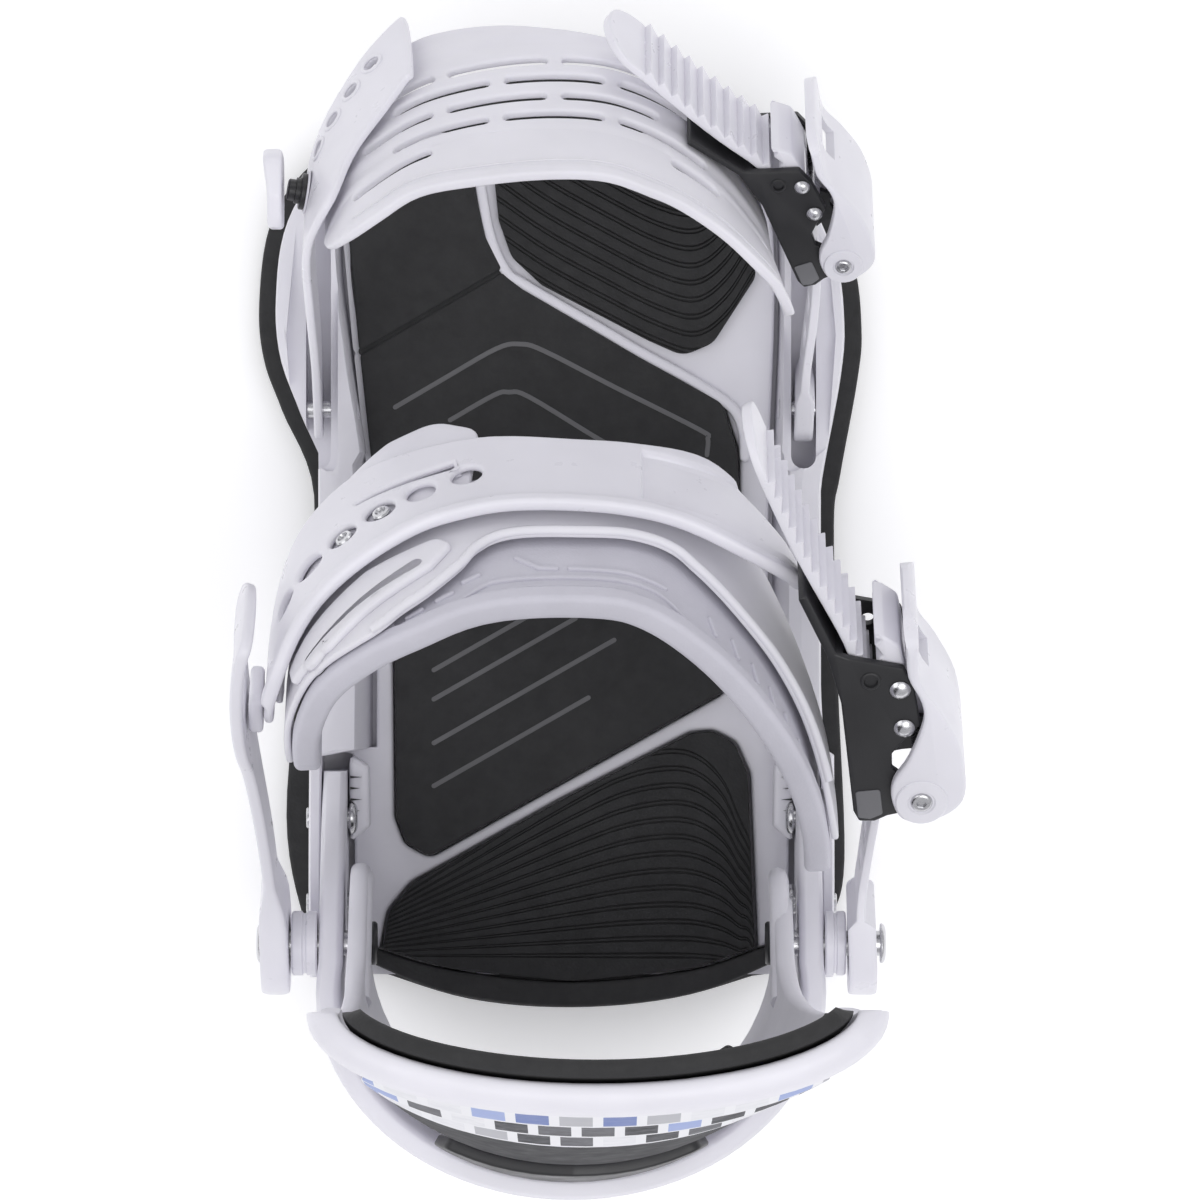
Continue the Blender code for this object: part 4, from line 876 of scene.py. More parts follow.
def make_highback():
    us = evenly(-100, 100, 4)[1:-1]
    left = [(-99, 40), (-100, 54), (-92, 64), (-78, 78), (-70, 94), (-67, 125), (-70, 152), (-82, 172),
            (-91, 184), (-80, 200), (-60, 212), (-30, 221), (0, 224)]
    right = [(30, 222), (60, 216), (80, 206), (92, 191), (84, 174), (71, 154), (67, 125), (70, 94),
             (78, 78), (88, 64), (91, 54), (88, 40)]
    low = [(74, 38), (62, 42), (40, 52), (0, 58), (-40, 52), (-62, 42), (-78, 38)]
    outline = catmull(left + right + low, 3, True)
    bores = [circle(side * 75.4, PIVOT_Z, 4.4, 24, 3.3) for side in (-1, 1)]
    rim = left[8:] + right[:4]

    def outer(u, z):
        # a rounded roll along the top edge stands out behind the shell
        near = to_line(rim, u, z) if z > 150 else 99
        return 2.4 * math.sqrt(max(0.0, 1 - ((near - 5) / 5.5) ** 2)) if near < 10.5 else 0.0

    zs = evenly(40, 190, 7)[1:-1] + evenly(191, 224, 1.8)
    back = plate("highback_shell", outline, back_place, -4.2, outer, SHELL, "highback", 1.9, bores, us, zs,
                 3, 4.2)
    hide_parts("highback")
    for side, name in SIDES:
        wing = catmull([(side * u, z) for u, z in ((96.5, 45), (95.5, 54), (88, 61), (76, 70), (66, 82))], 6)
        tube(f"highback_wing_{name}", [back_place(u, z, -3.0) for u, z in wing], 2.3, SHELL, "highback")
    inner = [(-44, 64), (-50, 90), (-52, 140), (-60, 172), (-86, 178), (-91, 185), (-78, 201), (-58, 213),
             (-30, 222), (0, 225), (30, 223), (58, 217), (78, 206), (91, 190), (86, 180), (60, 174),
             (52, 140), (50, 90), (44, 64), (20, 71), (0, 73), (-20, 71)]
    cushion = plate("highback_foam", catmull(inner, 3, True), back_place, -9.0, -5.2, RUBBERED, "highback",
                    1.6, (), us, zs, 3)
    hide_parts("highback_pad")
    panel = [(-38, 114), (-44, 160), (-46, 192), (-36, 204), (0, 211), (36, 206), (46, 195), (44, 160),
             (38, 114), (24, 106), (0, 104), (-24, 106)]
    film = plate("highback_film", catmull(panel, 4, True), back_place, 0.6, 1.6, FILM, "highback", 0.35, (),
                 us, zs)
    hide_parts("highback_rear_panel")
    ring = rounded([(-30, 82), (-26, 92), (0, 96), (26, 92), (30, 82), (0, 81)], 3, 5)
    block = plate("lean_stop", ring, back_place, 0.6, 3.4, BLACK_NYLON, "lean_block", 0.6, (), us)
    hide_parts("forward_lean_block")


# ---- straps -----------------------------------------------------------------------------------


class Strap:
    """Curved sheet in a tilted plane: s runs along a path of (x, h), w towards the heel, n outwards."""

    def __init__(self, path, pivot_y, pivot_z, tilt, steps=10):
        self.line = catmull(path, steps)
        self.y0, self.z0 = pivot_y, pivot_z
        self.sin, self.cos = math.sin(math.radians(tilt)), math.cos(math.radians(tilt))
        self.reach = [0.0]
        for a, b in zip(self.line, self.line[1:]):
            self.reach.append(self.reach[-1] + math.dist(a, b))
        top = min(range(len(self.line)), key=lambda i: abs(self.line[i][0]) + (self.line[i][1] < 55) * 999)
        zero = self.reach[top]
        self.reach = [v - zero for v in self.reach]

    def tilted(self, x, h, w):
        return (x, self.y0 + h * self.sin - w * self.cos, self.z0 + h * self.cos + w * self.sin)

    def point(self, s):
        i = max(1, min(len(self.reach) - 1, ordered.bisect_right(self.reach, s)))
        a, b = self.reach[i - 1], self.reach[i]
        t = (s - a) / (b - a)
        return [p + (q - p) * t for p, q in zip(self.line[i - 1], self.line[i])]

    def normal(self, s):
        (ax, ah), (bx, bh) = self.point(s - 1.5), self.point(s + 1.5)
        size = math.hypot(bx - ax, bh - ah)
        return -(bh - ah) / size, (bx - ax) / size

    def pivot(self):
        """Reach along the path at which its height crosses the pivot."""
        rising = self.line[-1][1] > 0
        return self.reach[next(i for i, p in enumerate(self.line) if (p[1] >= 0 if rising else p[1] <= 0))]

    def place(self, s, w, n):
        x, h = self.point(s)
        nx, nh = self.normal(s)
        return self.tilted(x + n * nx, h + n * nh, w)


ANKLE = Strap([(-59, 34), (-60.6, 48), (-61.6, 62), (-61, 76), (-56.2, 89), (-46.8, 98), (-35.5, 103.7),
               (-18, 108.5), (0, 109.7), (15, 108.2), (27.5, 102.5), (38.5, 93), (47.5, 80), (54, 65),
               (57.5, 49), (58.5, 34)], PIVOT_Y, PIVOT_Z, ANKLE_TILT, 6)
ANKLE_ARM = Strap([(-67.6, -10), (-67.6, 0), (-68, 14), (-69.4, 32), (-71.6, 50), (-73.6, 64),
                   (-74.2, 76), (-73, 88), (-69, 98)], PIVOT_Y, PIVOT_Z, ANKLE_TILT, 4)
ANKLE_LADDER = Strap([(38.8, 141), (43, 130), (49.5, 115), (56.5, 101), (62.8, 87), (66, 73), (68.4, 58),
                      (69.4, 44), (67.6, 28), (66.2, 14), (66.6, 0), (66.6, -10)],
                     PIVOT_Y, PIVOT_Z, ANKLE_TILT, 4)
TOE = Strap([(-54.5, 44), (-55.5, 58), (-51, 70), (-43.5, 77), (-33, 83), (-18, 86.5), (-3, 87.5),
             (10, 86), (22, 80.5), (32.5, 72), (40, 62), (44, 54), (47, 44)],
            TOE_Y, TOE_Z, TOE_TILT, 6)
TOE_ARM = Strap([(-TOE_X_L, -8), (-TOE_X_L, 0), (-59, 18), (-59.8, 36), (-60, 54), (-56.6, 68),
                 (-48.5, 78), (-39, 85)], TOE_Y, TOE_Z, TOE_TILT, 4)
TOE_LADDER = Strap([(8, 100.5), (18, 92.8), (30, 83), (38, 77), (44.4, 71), (48.8, 62), (52.8, 51),
                    (56.4, 40), (56.2, 28), (54.6, 14), (TOE_X_R, 0), (TOE_X_R, -8)],
                   TOE_Y, TOE_Z, TOE_TILT, 4)


def bead(name, put, line, n, r, skin, body):
    """Rounded raised rim along a line of (s, w) on a strap."""
    return tube(name, [put(s, w, n) for s, w in line], r, skin, body)


def make_ankle_strap():
    hug, body = ANKLE.place, "ankle_strap"
    cuts, across = evenly(-118, 112, 3), evenly(-54, 30, 3)
    pad = [(-92, 15), (-78, 23), (-64, 25), (-50, 25), (-36, 23.5), (-20, 19.5), (7, 19), (18, 20.5),
           (34, 25), (50, 28), (68, 28), (84, 26), (102, 21), (108, 14), (96, 4), (74, -4), (56, -14),
           (44, -26), (30, -33), (6, -33), (-24, -33), (-44, -30), (-60, -20), (-76, -8), (-90, 2)]
    ring = catmull(pad, 5, True)
    rear = ring[:14 * 5]

    def field(s, w):
        # a thick smooth rear rim, and inside it a lower field
        near = to_line(rear, s, w)
        return -1.5 * ease((near - 4.6) / 1.2) if w > -12 else -1.5

    fine_s, fine_w = evenly(-110, 110, 1.5), evenly(-33, 28, 1.2)
    liner = plate("ankle_liner", ring, hug, -6, field, LINING, body, 1.5, (), fine_s, fine_w, 3, 6)
    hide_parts("ankle_pad")
    # moulded ribs of the liner: contours over the instep, short ribs at the sides
    ribs = [catmull([(-27, 16.5), (-20, 11), (-15, 9.4), (0, 9.2), (14, 9.6), (22, 12), (30, 19.5)], 4),
            catmull([(-17, 15.0), (-12, 12.8), (0, 12.6), (12, 13), (20, 16.2)], 4),
            [(-12, 1.2), (-7, 5.4), (-3, 5.8)], [(0, 5.8), (14, 6.2), (22, 8)]]
    ribs += [[(s, w), (s + 3.4, w - 1.6)] for s, w in ((-30, 12.5), (-37, 16), (-44, 18.6), (-24, 7.6))]
    ribs += [[(s, w), (s + 1.6, w + 4.6)] for s, w in ((34, 11), (41, 13), (48, 15), (55, 16), (62, 17.4),
                                                       (69, 18.6))]
    rings = [band(line, 0.6) for line in ribs]
    plate("ankle_liner_ribs", rings[0], hug, -2.4, -0.8, LINING, body, 0.35, rings[1:], cuts, across)

    frame = [(-94, 6), (-88, 14), (-72, 20), (-56, 22), (-44, 21.5), (-37, 17), (-31, 13), (-24, 6),
             (-20, 0), (-13, -3.5), (3, -3.5), (14, -4), (23, -3), (29, 0.5), (42, 7), (54, 10), (68, 14),
             (84, 21), (94, 22), (98, 15), (88, 6), (70, -4), (56, -14), (44, -22), (22, -26), (-20, -26),
             (-50, -16), (-76, -3)]
    ring = catmull(frame, 5, True)
    slot_ends = (-33.5, 3.4, -59, 19.2)
    web = plate("ankle_frame_web", ring, hug, 0.4, 2.0, URETHANE, body, 0.6,
                [stadium(*slot_ends, 2.0, 8)], cuts, across)
    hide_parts("ankle_frame")
    bead("ankle_frame_rim", hug, [(s, w - 0.9) for s, w in ring[4 * 5:17 * 5]], 2.0, 1.15, URETHANE, body)
    block = rounded([(-66, 19.5), (-68, 12.5), (-45, -0.5), (-29, -5), (-25.5, -1.5), (-30, 5.2), (-54, 20)],
                    [2, 2, 3, 3, 2, 3, 3], 5)
    plate("ankle_frame_block", block, hug, 1.7, 3.9, URETHANE, body, 0.8,
          [stadium(*slot_ends, 2.3, 8)], cuts, across)
    # painted shade: a thin black sheet under the slot darkens the view through it, which would otherwise show
    # the lilac liner
    plate("ankle_frame_slot_painted_shade", stadium(*slot_ends, 2.4, 8), hug, 0.05, 0.35,
          BLACK_NYLON, body, 0.1, (), cuts)

    outline = [(-86, -2), (-84, 8), (-74, 15), (-66, 14), (-55, 5), (-44, -0.5), (-32, -6), (-22, -7.5),
               (-12, -8), (6, -7), (21, -6), (35, -4), (46, -5), (51, -8), (52, -15), (47, -20), (38, -28),
               (28, -35.5), (14, -34.5), (0, -34.5), (-20, -37.5), (-36, -38), (-48, -37), (-58, -33),
               (-66, -28), (-76, -18)]
    spots = [(-22, -23), (-32, -20.5), (-41, -18), (-49.5, -15), (-58, -12), (-66, -9)]
    holes = [circle(s, w, 3.3, 28) for s, w in spots]
    slit = [(-24.5, -26.5), (-35, -25.6), (-46, -24.2), (-46.5, -24.9), (-35, -27.4), (-25, -29.0)]

    def lift(s):
        return 5.0 * max(0.0, min(1.0, (s - 12) / 34)) ** 1.5

    ring = catmull(outline, 5, True)
    rear = ring[2 * 5:12 * 5 + 2]

    def crown(s, w):
        near = to_line(rear, s, w)
        lip = 1.3 * ease(1 - (near - 2.6) / 1.8) if near < 4.6 else 0.0
        # the end towards the buckle is let down behind a short wall, where the ladder lies
        pocket = ease((s - 14.2) / 0.8) * ease((-12.2 - w) / 0.8) * ease((w + 31.5) / 1.2)
        return 6.6 + lift(s) + lip - 1.3 * pocket

    exo = plate("ankle_band", ring, hug, lambda s, w: 4.6 + lift(s), crown, GLOSS, body, 0.95,
                holes + [slit], evenly(-90, 13, 1.8) + evenly(14.2, 60, 0.8), evenly(-40, -13, 1.8)
                + evenly(-12.8, 16, 0.9), 3, 2.0)
    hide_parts("ankle_exo_band")

    tongue = rounded([(-86, -6), (-82, 4), (-60, -6), (-40, -14), (-22, -18), (-20, -44), (-30, -51),
                      (-41, -48), (-60, -34), (-76, -20)], [2, 2, 4, 4, 3, 6, 8, 6, 4, 4], 6)
    tab = plate("ankle_tongue", tongue, hug, 2.6, 4.2, GLOSS, body, 0.7, (), cuts, across, 3)
    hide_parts("ankle_adjuster_tongue")
    for i, (s, w) in enumerate(spots[2:4]):
        stud = turned(f"ankle_stud_{i + 1}", hug(s, w, 4.4), hug(s, w, 6.3),
                      [(0, 0), (0, 2.2), (1.3, 2.2), (1.7, 1.9), (1.8, 1.3), (1.2, 1.1), (1.2, 0)], STEEL,
                      body)
        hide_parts(f"ankle_adjuster_stud_{i + 1}")
    arm = [(20, -6.5), (50, -7), (62, -12), (70, -13.5), (88, -13.5), (94, -9), (94, 11), (88, 14.5),
           (70, 14.5), (62, 13), (50, 8), (20, 6.5)]
    make_arm("ankle_arm", "ankle_connector_left", ANKLE_ARM, arm, 11.8, 3.2, 1.4,
             [rounded([(70, -9), (86, -9), (86, 10), (70, 10)], 2, 4)])
    ring = rounded([(-88, -7), (-88, 7), (-79, 7), (-79, -7)], 2, 4)
    keeper = plate("ankle_keeper", ring, hug, 7.0, 10.2, GLOSS, body, 1.0, (), evenly(-88, -79, 3)[1:-1])
    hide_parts("ankle_strap_keeper")


def make_arm(name, node, strap, outline, eye_r, eye_half, thin, holes=()):
    """Connector from a pivot eye up to the strap; s is measured from the pivot along its path."""
    zero = strap.pivot()
    eye = [(eye_r * math.cos(a), eye_r * math.sin(a))
           for a in (math.radians(75 + 210 * k / 20) for k in range(21))]
    body = "ankle_strap"

    def half(s, w):
        return along([(12, eye_half), (20, thin)], s)

    smooth = catmull(outline, 4)
    made = plate(name, eye + smooth, lambda s, w, n: strap.place(s + zero, w, n),
                 lambda s, w: -half(s, w), half, GLOSS, body, 0.75, [circle(0, 0, PIVOT_BORE, 32), *holes],
                 evenly(-11, 94, 3.5), (), 3, 2.4)
    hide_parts(node)
    return made


def make_ladder(name, node, body, strap, width, tip, teeth, drift, eye_r, eye_half):
    """Ratchet ladder: s from its tip, w shifts by drift(s); teeth is (first, last, pitch)."""
    zero = strap.pivot()
    start = strap.reach[0]
    length = zero - start
    half = width / 2
    first, last, pitch = teeth
    ring = [(tip - tip * math.cos(math.radians(v)), half * math.sin(math.radians(v)))
            for v in range(-90, 91, 9)]
    foot = [(length + x, y) for x, y in arc(eye_r, 105, -106, -10)]
    neck = length - eye_r - 8
    outline = ring + [(last + 4, half), (neck, 6.5)] + foot + [(neck, -6.5), (last + 4, -half)]
    count = int((last - first) / pitch)
    cuts = []
    for k in range(count + 1):
        cuts += [first + k * pitch, first + k * pitch + 0.3, first + k * pitch + 0.6]
    cuts += evenly(2, first - 1, 2.5) + evenly(last + 3, length + 8, 3)

    def top(s, w):
        if s < first or s > first + count * pitch + 0.2:
            return eye_half if s > length - eye_r else 0.6 + 0.5 * ease((6 - s) / 6)
        t = ((s - first) % pitch) / pitch
        return 2.1 - 1.9 * t if abs(t - round(t)) > 1e-3 else 0.3

    def low(s, w):
        return -eye_half if s > length - eye_r else -1.4

    hole = circle(length, 0, PIVOT_BORE if eye_half > 2.5 else TOE_BORE, 24)
    windows = [rounded([(s, -3.2), (s, 3.2), (s + 3.4, 3.2), (s + 3.4, -3.2)], 1.2, 4)
               for s in evenly(last + 8, neck - 6, 7.5)]

    def put(s, w, n):
        return strap.place(start + s, w + drift(s), n)

    made = plate(name, outline, put, low, top, GLOSS, body, 0.5, [hole, *windows], cuts,
                 (-half + 1.6, half - 1.6), 2, 2.6)
    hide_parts(node)
    return made


AXLE_AT = (39, 13)  # where the lever turns, in the buckle's own (a, b)


def make_buckle(name, strap, x0, h0, turn, k, wc, half, splay, dip):
    """Ratchet buckle in the plane of the strap: a runs down its base from (x0, h0), b outwards, and
    k scales both. wc and half are its middle and half width along w. splay opens the lever, and dip
    lowers the tail of the frame."""
    ax, ah = math.sin(turn), -math.cos(turn)
    fixed, moving, catch = f"{name}_strap", f"{name}_lever", f"{name}_pawl"

    def put(a, b, w):
        return strap.tilted(x0 + k * (a * ax - b * ah), h0 + k * (a * ah + b * ax), w + wc)

    def slab(piece, ring, w0, w1, skin, body, edge=0.5):
        return plate(piece, ring, put, w0, w1, skin, body, edge)

    def drill(piece, a, b, r, body):
        return bore(piece, put(a, b, -40), put(a, b, 40), r, body)

    side = [(-18, -7.6 - dip), (-17.4, -9.4 - dip), (-1, -4.4 - 0.1 * dip), (12, -2.5), (42, -2.5),
            (44.8, -1.5), (45.2, 2), (44, 5), (43.4, 9), (43.4, 14), (41.5, 17), (38, 17.4), (35, 15.5),
            (34, 10), (31, 7.2), (27, 7.5), (23.7, 10.5), (19.7, 14.6), (9.6, 14), (3.9, 12.2), (0, 0.4),
            (-1.6, -2.4 - 0.1 * dip)]
    frame = slab(f"{name}_frame", rounded(side, 0.8, 4), -half, half, BLACK_NYLON, fixed, 0.45)
    inner = half - 1.7
    cutters = [slab(f"{name}_channel", [(-3, -0.9), (60, -0.9), (60, 40), (-3, 40)], -inner, inner, None,
                    fixed, 0.01)]
    pins = ((9.5, 10.9), (20, 10.9))
    for i, (a, b) in enumerate(pins):
        cutters.append(drill(f"{name}_pin_bore_{i}", a, b, 1.75, fixed))
    cutters.append(drill(f"{name}_sight_bore", 6.5, 4.6, 1.6, fixed))
    cutters.append(drill(f"{name}_frame_axle", *AXLE_AT, 2.0 / k, fixed))
    lean = math.atan2(5.2 + 0.9 * dip, 16.4)
    da, db = -math.sin(lean), math.cos(lean)
    ca, cb = -10.0, -5.06 - 0.56 * dip

    def spot(v):
        return put(ca + v * da, cb + v * db, 0)

    cutters.append(turned(f"{name}_mount_bore", spot(-6), spot(3), [(0, 0), (0, 2.6), (9, 2.6), (9, 0)], None,
                          fixed, n=24))
    carve(frame, *cutters)
    soften(frame, 0.25)
    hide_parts(f"{name}_buckle_frame")
    for i, (a, b) in enumerate(pins):
        length = 2 * half + 2.4
        ends = put(a, b, -half - 1.2), put(a, b, half + 1.2)
        rivet = [(0, 0), (0.05, 0.9), (0.35, 1.8), (0.9, 2.35), (1.0, 2.35), (1.0, 1.4),
                 (length - 1.0, 1.4), (length - 1.0, 2.35), (length - 0.9, 2.35), (length - 0.35, 1.8),
                 (length - 0.05, 0.9), (length, 0)]
        rivet = [(at, r * (k if r > 1.5 else 1)) for at, r in rivet]
        pin = turned(f"{name}_rivet_{i + 1}", *ends, rivet, STEEL, fixed)
        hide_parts(f"{name}_buckle_pin_{i + 1}")
    sole = rounded([(36.4, -1.6), (43.6, -1.6), (44.3, 1), (43.2, 4), (36.4, 4)], 0.8)
    slab(f"{name}_foot_insert", sole, half - 0.3, half + 0.25, GREY_NYLON, fixed, 0.2)
    turned(f"{name}_sight_ring", put(6.5, 4.6, half - 0.4), put(6.5, 4.6, half + 0.35),
           [(0, 0), (0, 2.3 * k), (0.55, 2.3 * k), (0.75, 2.0 * k), (0.75, 1.6 * k), (0.2, 1.4 * k),
            (0.2, 0)], BLACK_NYLON, fixed)

    c, t = math.cos(splay), math.sin(splay)

    def spun(ring):
        at_a, at_b = AXLE_AT
        return [(at_a + (a - at_a) * c + (b - at_b) * t, at_b + (b - at_b) * c - (a - at_a) * t)
                for a, b in ring]

    lever = [(-8.4, 13.2), (-8, 15.4), (-5, 16.2), (6.3, 15.6), (14.5, 19.3), (25, 22.8), (36.8, 23.2),
             (42.1, 20.5), (45, 14), (43.6, 8.3), (38, 6.4), (32.9, 7.3), (27.2, 11.2), (17.9, 15.2),
             (12.1, 15.3), (5, 13.0), (-3, 13.2)]
    arm = slab(f"{name}_handle", catmull(spun(lever), 4, True), -half - 2.6, half + 2.6, GLOSS, moving, 0.9)
    under = [(8, 4), (8, 12.8), (14.5, 16.8), (25, 20.2), (36, 20.4), (39.5, 18.6), (60, 16), (60, 4)]
    cutters = [slab(f"{name}_handle_channel", rounded(spun(under), [0, 2, 3, 3, 3, 2, 0, 0], 4), -half - 0.4,
                    half + 0.4, None, moving, 0.01),
               slab(f"{name}_window", rounded(spun([(4, 5), (11, 5), (11, 40), (4, 40)]), 0.5), -8, 3, None,
                    moving, 0.01),
               drill(f"{name}_axle_bore", *AXLE_AT, 2.0 / k, moving)]
    # the grip end is rounded in plan
    for w_side in (-1, 1):
        corner = [(-12, w_side * (half + 4)), (-12, w_side * (half - 5))]
        corner += [(-8.6 + 7.6 * (1 - math.cos(v)), w_side * (half - 5 + 7.6 * math.sin(v)))
                   for v in (math.radians(15 * i) for i in range(7))]
        corner.append((-1, w_side * (half + 4)))
        cutters.append(plate(f"{name}_corner_{w_side}", corner, lambda a, w, b: put(*spun([(a, b)])[0], w),
                             8, 24, None, moving, 0.01))
    carve(arm, *cutters)
    soften(arm, 0.35)
    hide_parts(f"{name}_lever")
    for w_side, tag in ((-1, "far"), (1, "near")):
        ends = put(*AXLE_AT, w_side * (half + 1.6)), put(*AXLE_AT, w_side * (half + 3.1))
        turned(f"{name}_cover_{tag}", *ends,
               [(0, 0), (0, 5.9 * k), (1.2, 5.9 * k), (1.5, 5.6 * k), (1.5, 3.2 * k), (1.1, 2.9 * k),
                (1.1, 0)], GLOSS, moving)
        head(f"{name}_hinge_screw_{tag}", put(*AXLE_AT, w_side * (half - 0.6)),
             put(*AXLE_AT, w_side * (half + 3.4)), 1.3, 2.7, 2.5 * k, 0.7, 1.25 * k, STEEL, moving)
    axle = rod(f"{name}_hinge_pin", put(*AXLE_AT, -half - 2.9), put(*AXLE_AT, half + 2.9), 1.6, STEEL, moving)
    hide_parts(f"{name}_lever_axle")

    teeth = [(-4.6, 6.0), (-3.8, 8.6), (-0.8, 11.8), (4, 12.3), (10, 12.6), (12.6, 11.6), (12.4, 9.2),
             (9, 8.4)]
    for step in range(3):
        teeth += [(7 - 4.2 * step, 6.2), (5.6 - 4.2 * step, 7.6)]
    ring = rounded(teeth, [1.4, 1.6, 2.4, 3, 2, 1.4, 1, 1] + [0.25] * 6, 4)
    pawl = slab(f"{name}_catch", ring, -inner + 0.5, inner - 0.5, GLOSS, catch, 0.8)
    a, b = pins[0]
    carve(pawl, drill(f"{name}_pawl_bore", a, b, 1.75, catch))
    soften(pawl, 0.25)
    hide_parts(f"{name}_pawl")
    screw = head(f"{name}_mount_head", spot(-2.9), spot(1.35), 2.1, 3.3, 4.2, 0.75, 1.7, STEEL, fixed)
    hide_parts(f"{name}_buckle_mount_screw")
    return put


def make_toe_strap():
    body = "toe_strap"

    def hug(s, w, n):
        t = max(0.0, min(1.0, (s - 20) / 34))
        return TOE.place(s, w, n + 0.2 * max(0.0, w - 8) * t)

    outline = [(-66, 14), (-62, 22), (-53, 28.5), (-44, 28.5), (-34, 26.5), (-18, 27), (7, 26), (16, 26.5),
               (25, 27), (38, 29.5), (50, 31.5), (62, 30), (68, 22), (64, 8), (54, -6), (44, -14),
               (32, -21.5), (20, -25), (7, -27), (-3, -29), (-13, -31), (-26, -32), (-38, -31), (-46, -23),
               (-54, -16), (-63, -4)]
    slots = []
    for row, w in enumerate((-16.5, -10, -3, 4, 11)):
        for j in range(-2, 3):
            mid = 26 * j + (13 if row % 2 else 0) - 16
            a, b = max(mid - 10, -50 + 0.2 * (11 - w)), min(mid + 10, 33 + 0.3 * w)
            if (row == 4 and -34 < mid < 30) or b - a < 7:
                continue
            line = [(s, w + TOE_BOW * s * s) for s in evenly(a, b, 3)]
            slots.append(band(line, 1.45))
    ring = catmull(outline, 5, True)
    rear = ring[2 * 5:12 * 5]

    def crown(s, w):
        # a raised rim, a stitch-like groove inside it along the rear, and low bars between the slots
        near = to_line(rear, s, w)
        edge = 0.5 * ease(1 - (near - 2.6) / 1.2) if near < 4 else 0.0
        row = w - TOE_BOW * s * s
        bar = 0.3 * (0.5 - 0.5 * math.cos(2 * math.pi * (row + 16.5) / 6.8)) if row < 9 else 0.0
        return 0.6 + edge + bar

    cap = plate("toe_cap_shell", ring, hug, -1.4, crown, URETHANE, body, 0.6, slots, evenly(-68, 70, 2),
                evenly(-32, 31, 1.6), 2, 2.0)
    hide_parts("toe_cap")
    seam = inset(ring, 5.2)[2 * 5:12 * 5]
    bead("toe_cap_welt", hug, seam, 0.62, 0.28, URETHANE, body)

    zero = TOE_ARM.pivot()

    def put(s, w, n):
        return TOE_ARM.place(s + zero, w, n)

    edge = catmull([(16, -7), (40, -10), (58, -16), (66, -16.5), (74, -21.5), (84, -30.5), (92, -36),
                    (95, -34), (97, -14), (95, -11), (88, -3), (80, 5), (74, 15), (66, 17), (54, 13),
                    (40, 10), (16, 7)], 4)
    ring = arc(7, 110, 251, 10) + edge
    spots = ((86, -24), (80, -19), (74, -14), (68, -10))
    holes = [circle(0, 0, TOE_BORE, 24)] + [circle(s, w, 2.0, 24) for s, w in spots]
    arm = plate("toe_arm", ring, put, -1.0, 1.0, GLOSS, body, 0.7, holes, evenly(-6, 96, 3),
                evenly(-36, 17, 5), 3)
    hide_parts("toe_connector_left")
    inner_holes = [circle(*spots[0], 2.0, 24)]
    inner_holes += [circle(s, w, r, 28) for s, w in spots[1:] for r in (3.0, 2.0)]
    plate("toe_arm_rims", circle(*spots[0], 3.0, 28), put, 0.7, 1.35, GLOSS, body, 0.3, inner_holes)
    post = turned("toe_tab_post", put(60, -4, 1.4), put(60, -4, 5.6),
                  [(0, 0), (0, 3.9), (0.3, 4.2), (1.1, 4.2), (1.3, 3.9), (1.3, 3.0), (2.4, 3.0), (2.5, 2.5),
                   (3.9, 2.5), (4.2, 2.2), (4.2, 0)], BLACK_NYLON, body)
    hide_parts("toe_adjuster_stud")
    sx, sy, sz = put(60, -4, 5.6)
    tab = rounded([(-9, -7), (-9, 6), (-2, 9), (7, 9), (9, 4), (8, -6), (2, -8)], 3, 5)

    def lay(s, w, n):
        return sx - 1.0 - n, sy + s, sz + w

    thumb = plate("toe_thumb_tab", tab, lay, 0, lambda s, w: 3.4 + 1.0 * ease((s + 2) / 10), GLOSS,
                  "toe_adjuster_lever", 0.9, (), evenly(-8, 8, 1.5), (), 3, 3.6)
    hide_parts("toe_adjuster_lever")
    turned("toe_tab_washer", put(60, -4, 1.05), put(60, -4, 1.5),
           [(0, 0), (0, 5.0), (0.3, 5.0), (0.45, 4.8), (0.45, 0)], GLOSS, body)


def make_pivots():
    """Bolt, nut and spacer on each side, shared by the ankle strap and the highback."""
    for side, name, x_out in ((-1, "left", 63.9), (1, "right", 62.8)):
        def at(x):
            return side * x, PIVOT_Y, PIVOT_Z

        nut = turned(f"hinge_nut_{name}", at(45.7), at(44.4),
                     [(0, 0), (0, 5.0), (0.8, 5.0), (1.3, 4.6), (1.3, 2.6), (0.8, 2.4), (0.8, 0)],
                     BLACK_NYLON, "heelcup")
        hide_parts(f"pivot_nut_{name}")
        long = x_out - 58.0
        radii = [(0, 3.3), (0, 7.0), (0.4, 7.4), (long * 0.4, 7.4), (long * 0.46, 6.9), (long * 0.54, 6.9),
                 (long * 0.6, 7.4), (long - 0.4, 7.4), (long, 7.0), (long, 3.3), (0, 3.3)]
        spacer = turned(f"hinge_spacer_{name}", at(58.0), at(x_out), radii, GLOSS, "heelcup")
        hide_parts(f"pivot_spacer_{name}")
        bolt = head(f"hinge_bolt_{name}", at(46.2), at(72.0), 2.9, 24.5, 4.6, 1.0, 2.0, STEEL, "heelcup")
        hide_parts(f"pivot_bolt_{name}")


def ankle_drift(s):
    return -3 - 5 * max(0, 1 - s / 40) if s < 104 else -3 + 3 * min(1, (s - 104) / 26)


def toe_drift(s):
    return -7 - 7 * max(0, 1 - s / 36) if s < 86 else -7 + 7 * min(1, (s - 86) / 22)


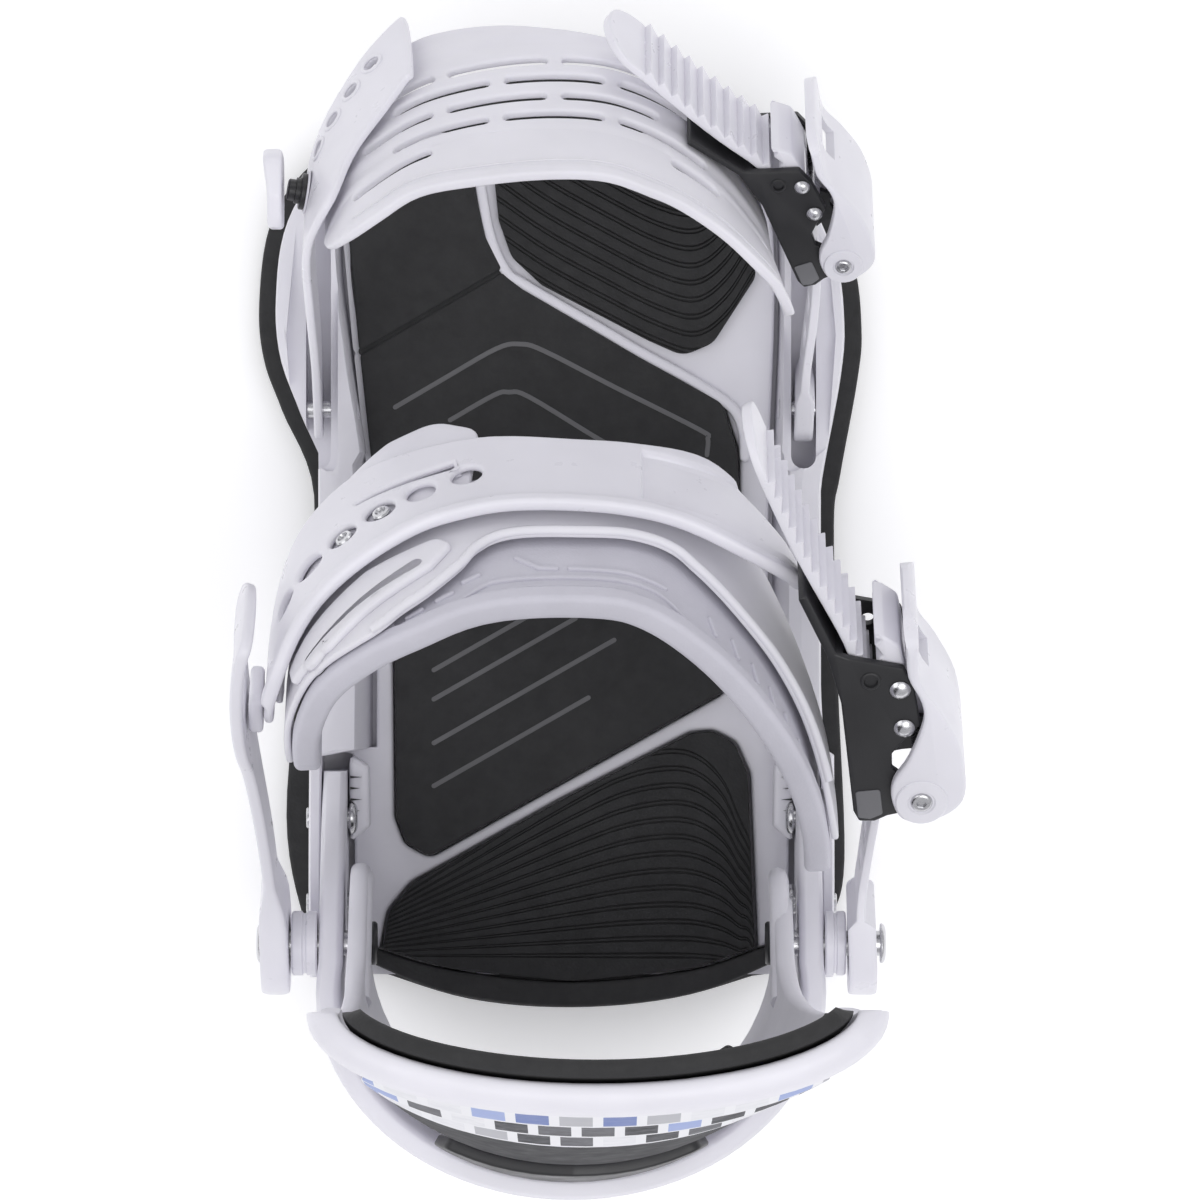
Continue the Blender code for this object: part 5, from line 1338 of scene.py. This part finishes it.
make_base()
make_pads()
make_heel_cup()
make_highback()
make_ankle_strap()
make_ladder("ankle_teeth", "ankle_ladder", "ankle_ladder", ANKLE_LADDER, 21.0, 9, (12, 78, 4.0), ankle_drift,
            11.8, 3.2)
make_buckle("ankle", ANKLE, 61.4, 86.8, math.radians(6.3), 1.0, -3, 12.9, 0.0, 0.0)
make_toe_strap()
make_ladder("toe_teeth", "toe_ladder", "toe_ladder", TOE_LADDER, 19, 8, (11, 62, 3.8), toe_drift, 7.5, 2.2)
make_buckle("toe", TOE, 41.9, 71.8, math.radians(21.2), 0.77, -7, 11.6, math.radians(6.5), 6.0)
make_pivots()
for side, name, inner_x, outer_x in ((-1, "left", 52.0, 62.6), (1, "right", 48.6, 60.3)):
    hinge = rod(f"toe_hinge_{name}", (side * inner_x, TOE_Y, TOE_Z), (side * outer_x, TOE_Y, TOE_Z), 2.0,
                STEEL, "base")
    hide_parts(f"toe_pivot_pin_{name}")
for node, skin in [(f"disc_screw_{i}", STEEL) for i in (1, 2, 3, 4)] + [("mounting_disc", SHELL)]:
    bpy.data.objects[node].data.materials.clear()
    bpy.data.objects[node].data.materials.append(skin)

# ---- floor, light, camera ---------------------------------------------------------------------

floor_mesh = bpy.data.meshes.new("floor")
floor_mesh.from_pydata([(-3, -3, 0), (3, -3, 0), (3, 3, 0), (-3, 3, 0)], [], [(0, 1, 2, 3)])
floor = bpy.data.objects.new("floor", floor_mesh)
bpy.context.scene.collection.objects.link(floor)
floor.location.z = -0.0004
floor_look = Maker("pale_floor")
paper = floor_look.mix(floor_look.noise(6, 3), (0.95, 0.95, 0.955), (0.97, 0.97, 0.975))
floor_look.link(paper, floor_look.shader.inputs["Base Color"])
floor_look.set(Roughness=0.9, Emission_Color=(1.0, 1.0, 1.0, 1), Emission_Strength=0.22)
floor_mesh.materials.append(floor_look.material)

world = bpy.data.worlds.new("studio")
world.use_nodes = True
world.node_tree.nodes["Background"].inputs["Color"].default_value = (0.97, 0.97, 1.0, 1)
world.node_tree.nodes["Background"].inputs["Strength"].default_value = 0.6
bpy.context.scene.world = world


def softbox(name, at, size, power):
    lamp = bpy.data.lights.new(name, "AREA")
    lamp.shape = "DISK"
    lamp.size = size
    lamp.energy = power
    made = bpy.data.objects.new(name, lamp)
    made.location = at
    made.rotation_euler = (-Vector(at)).to_track_quat("-Z", "Y").to_euler()
    bpy.context.scene.collection.objects.link(made)


# lamps in metres and watts, each turned towards the disc
softbox("key", (0.45, -0.6, 1.7), 1.5, 11.5)
softbox("fill", (-1.0, -0.1, 1.4), 1.4, 5)
softbox("rim", (0.2, 1.3, 0.9), 0.8, 2)
bpy.context.scene.view_settings.view_transform = "Standard"

camera = bpy.data.objects.new("camera", bpy.data.cameras.new("camera"))
bpy.context.scene.collection.objects.link(camera)
camera.location = (0.0066, -0.0094, 1.8)  # metres: looks straight down from above the disc
camera.data.lens = 229.5
camera.data.clip_start = 0.1
bpy.context.scene.camera = camera
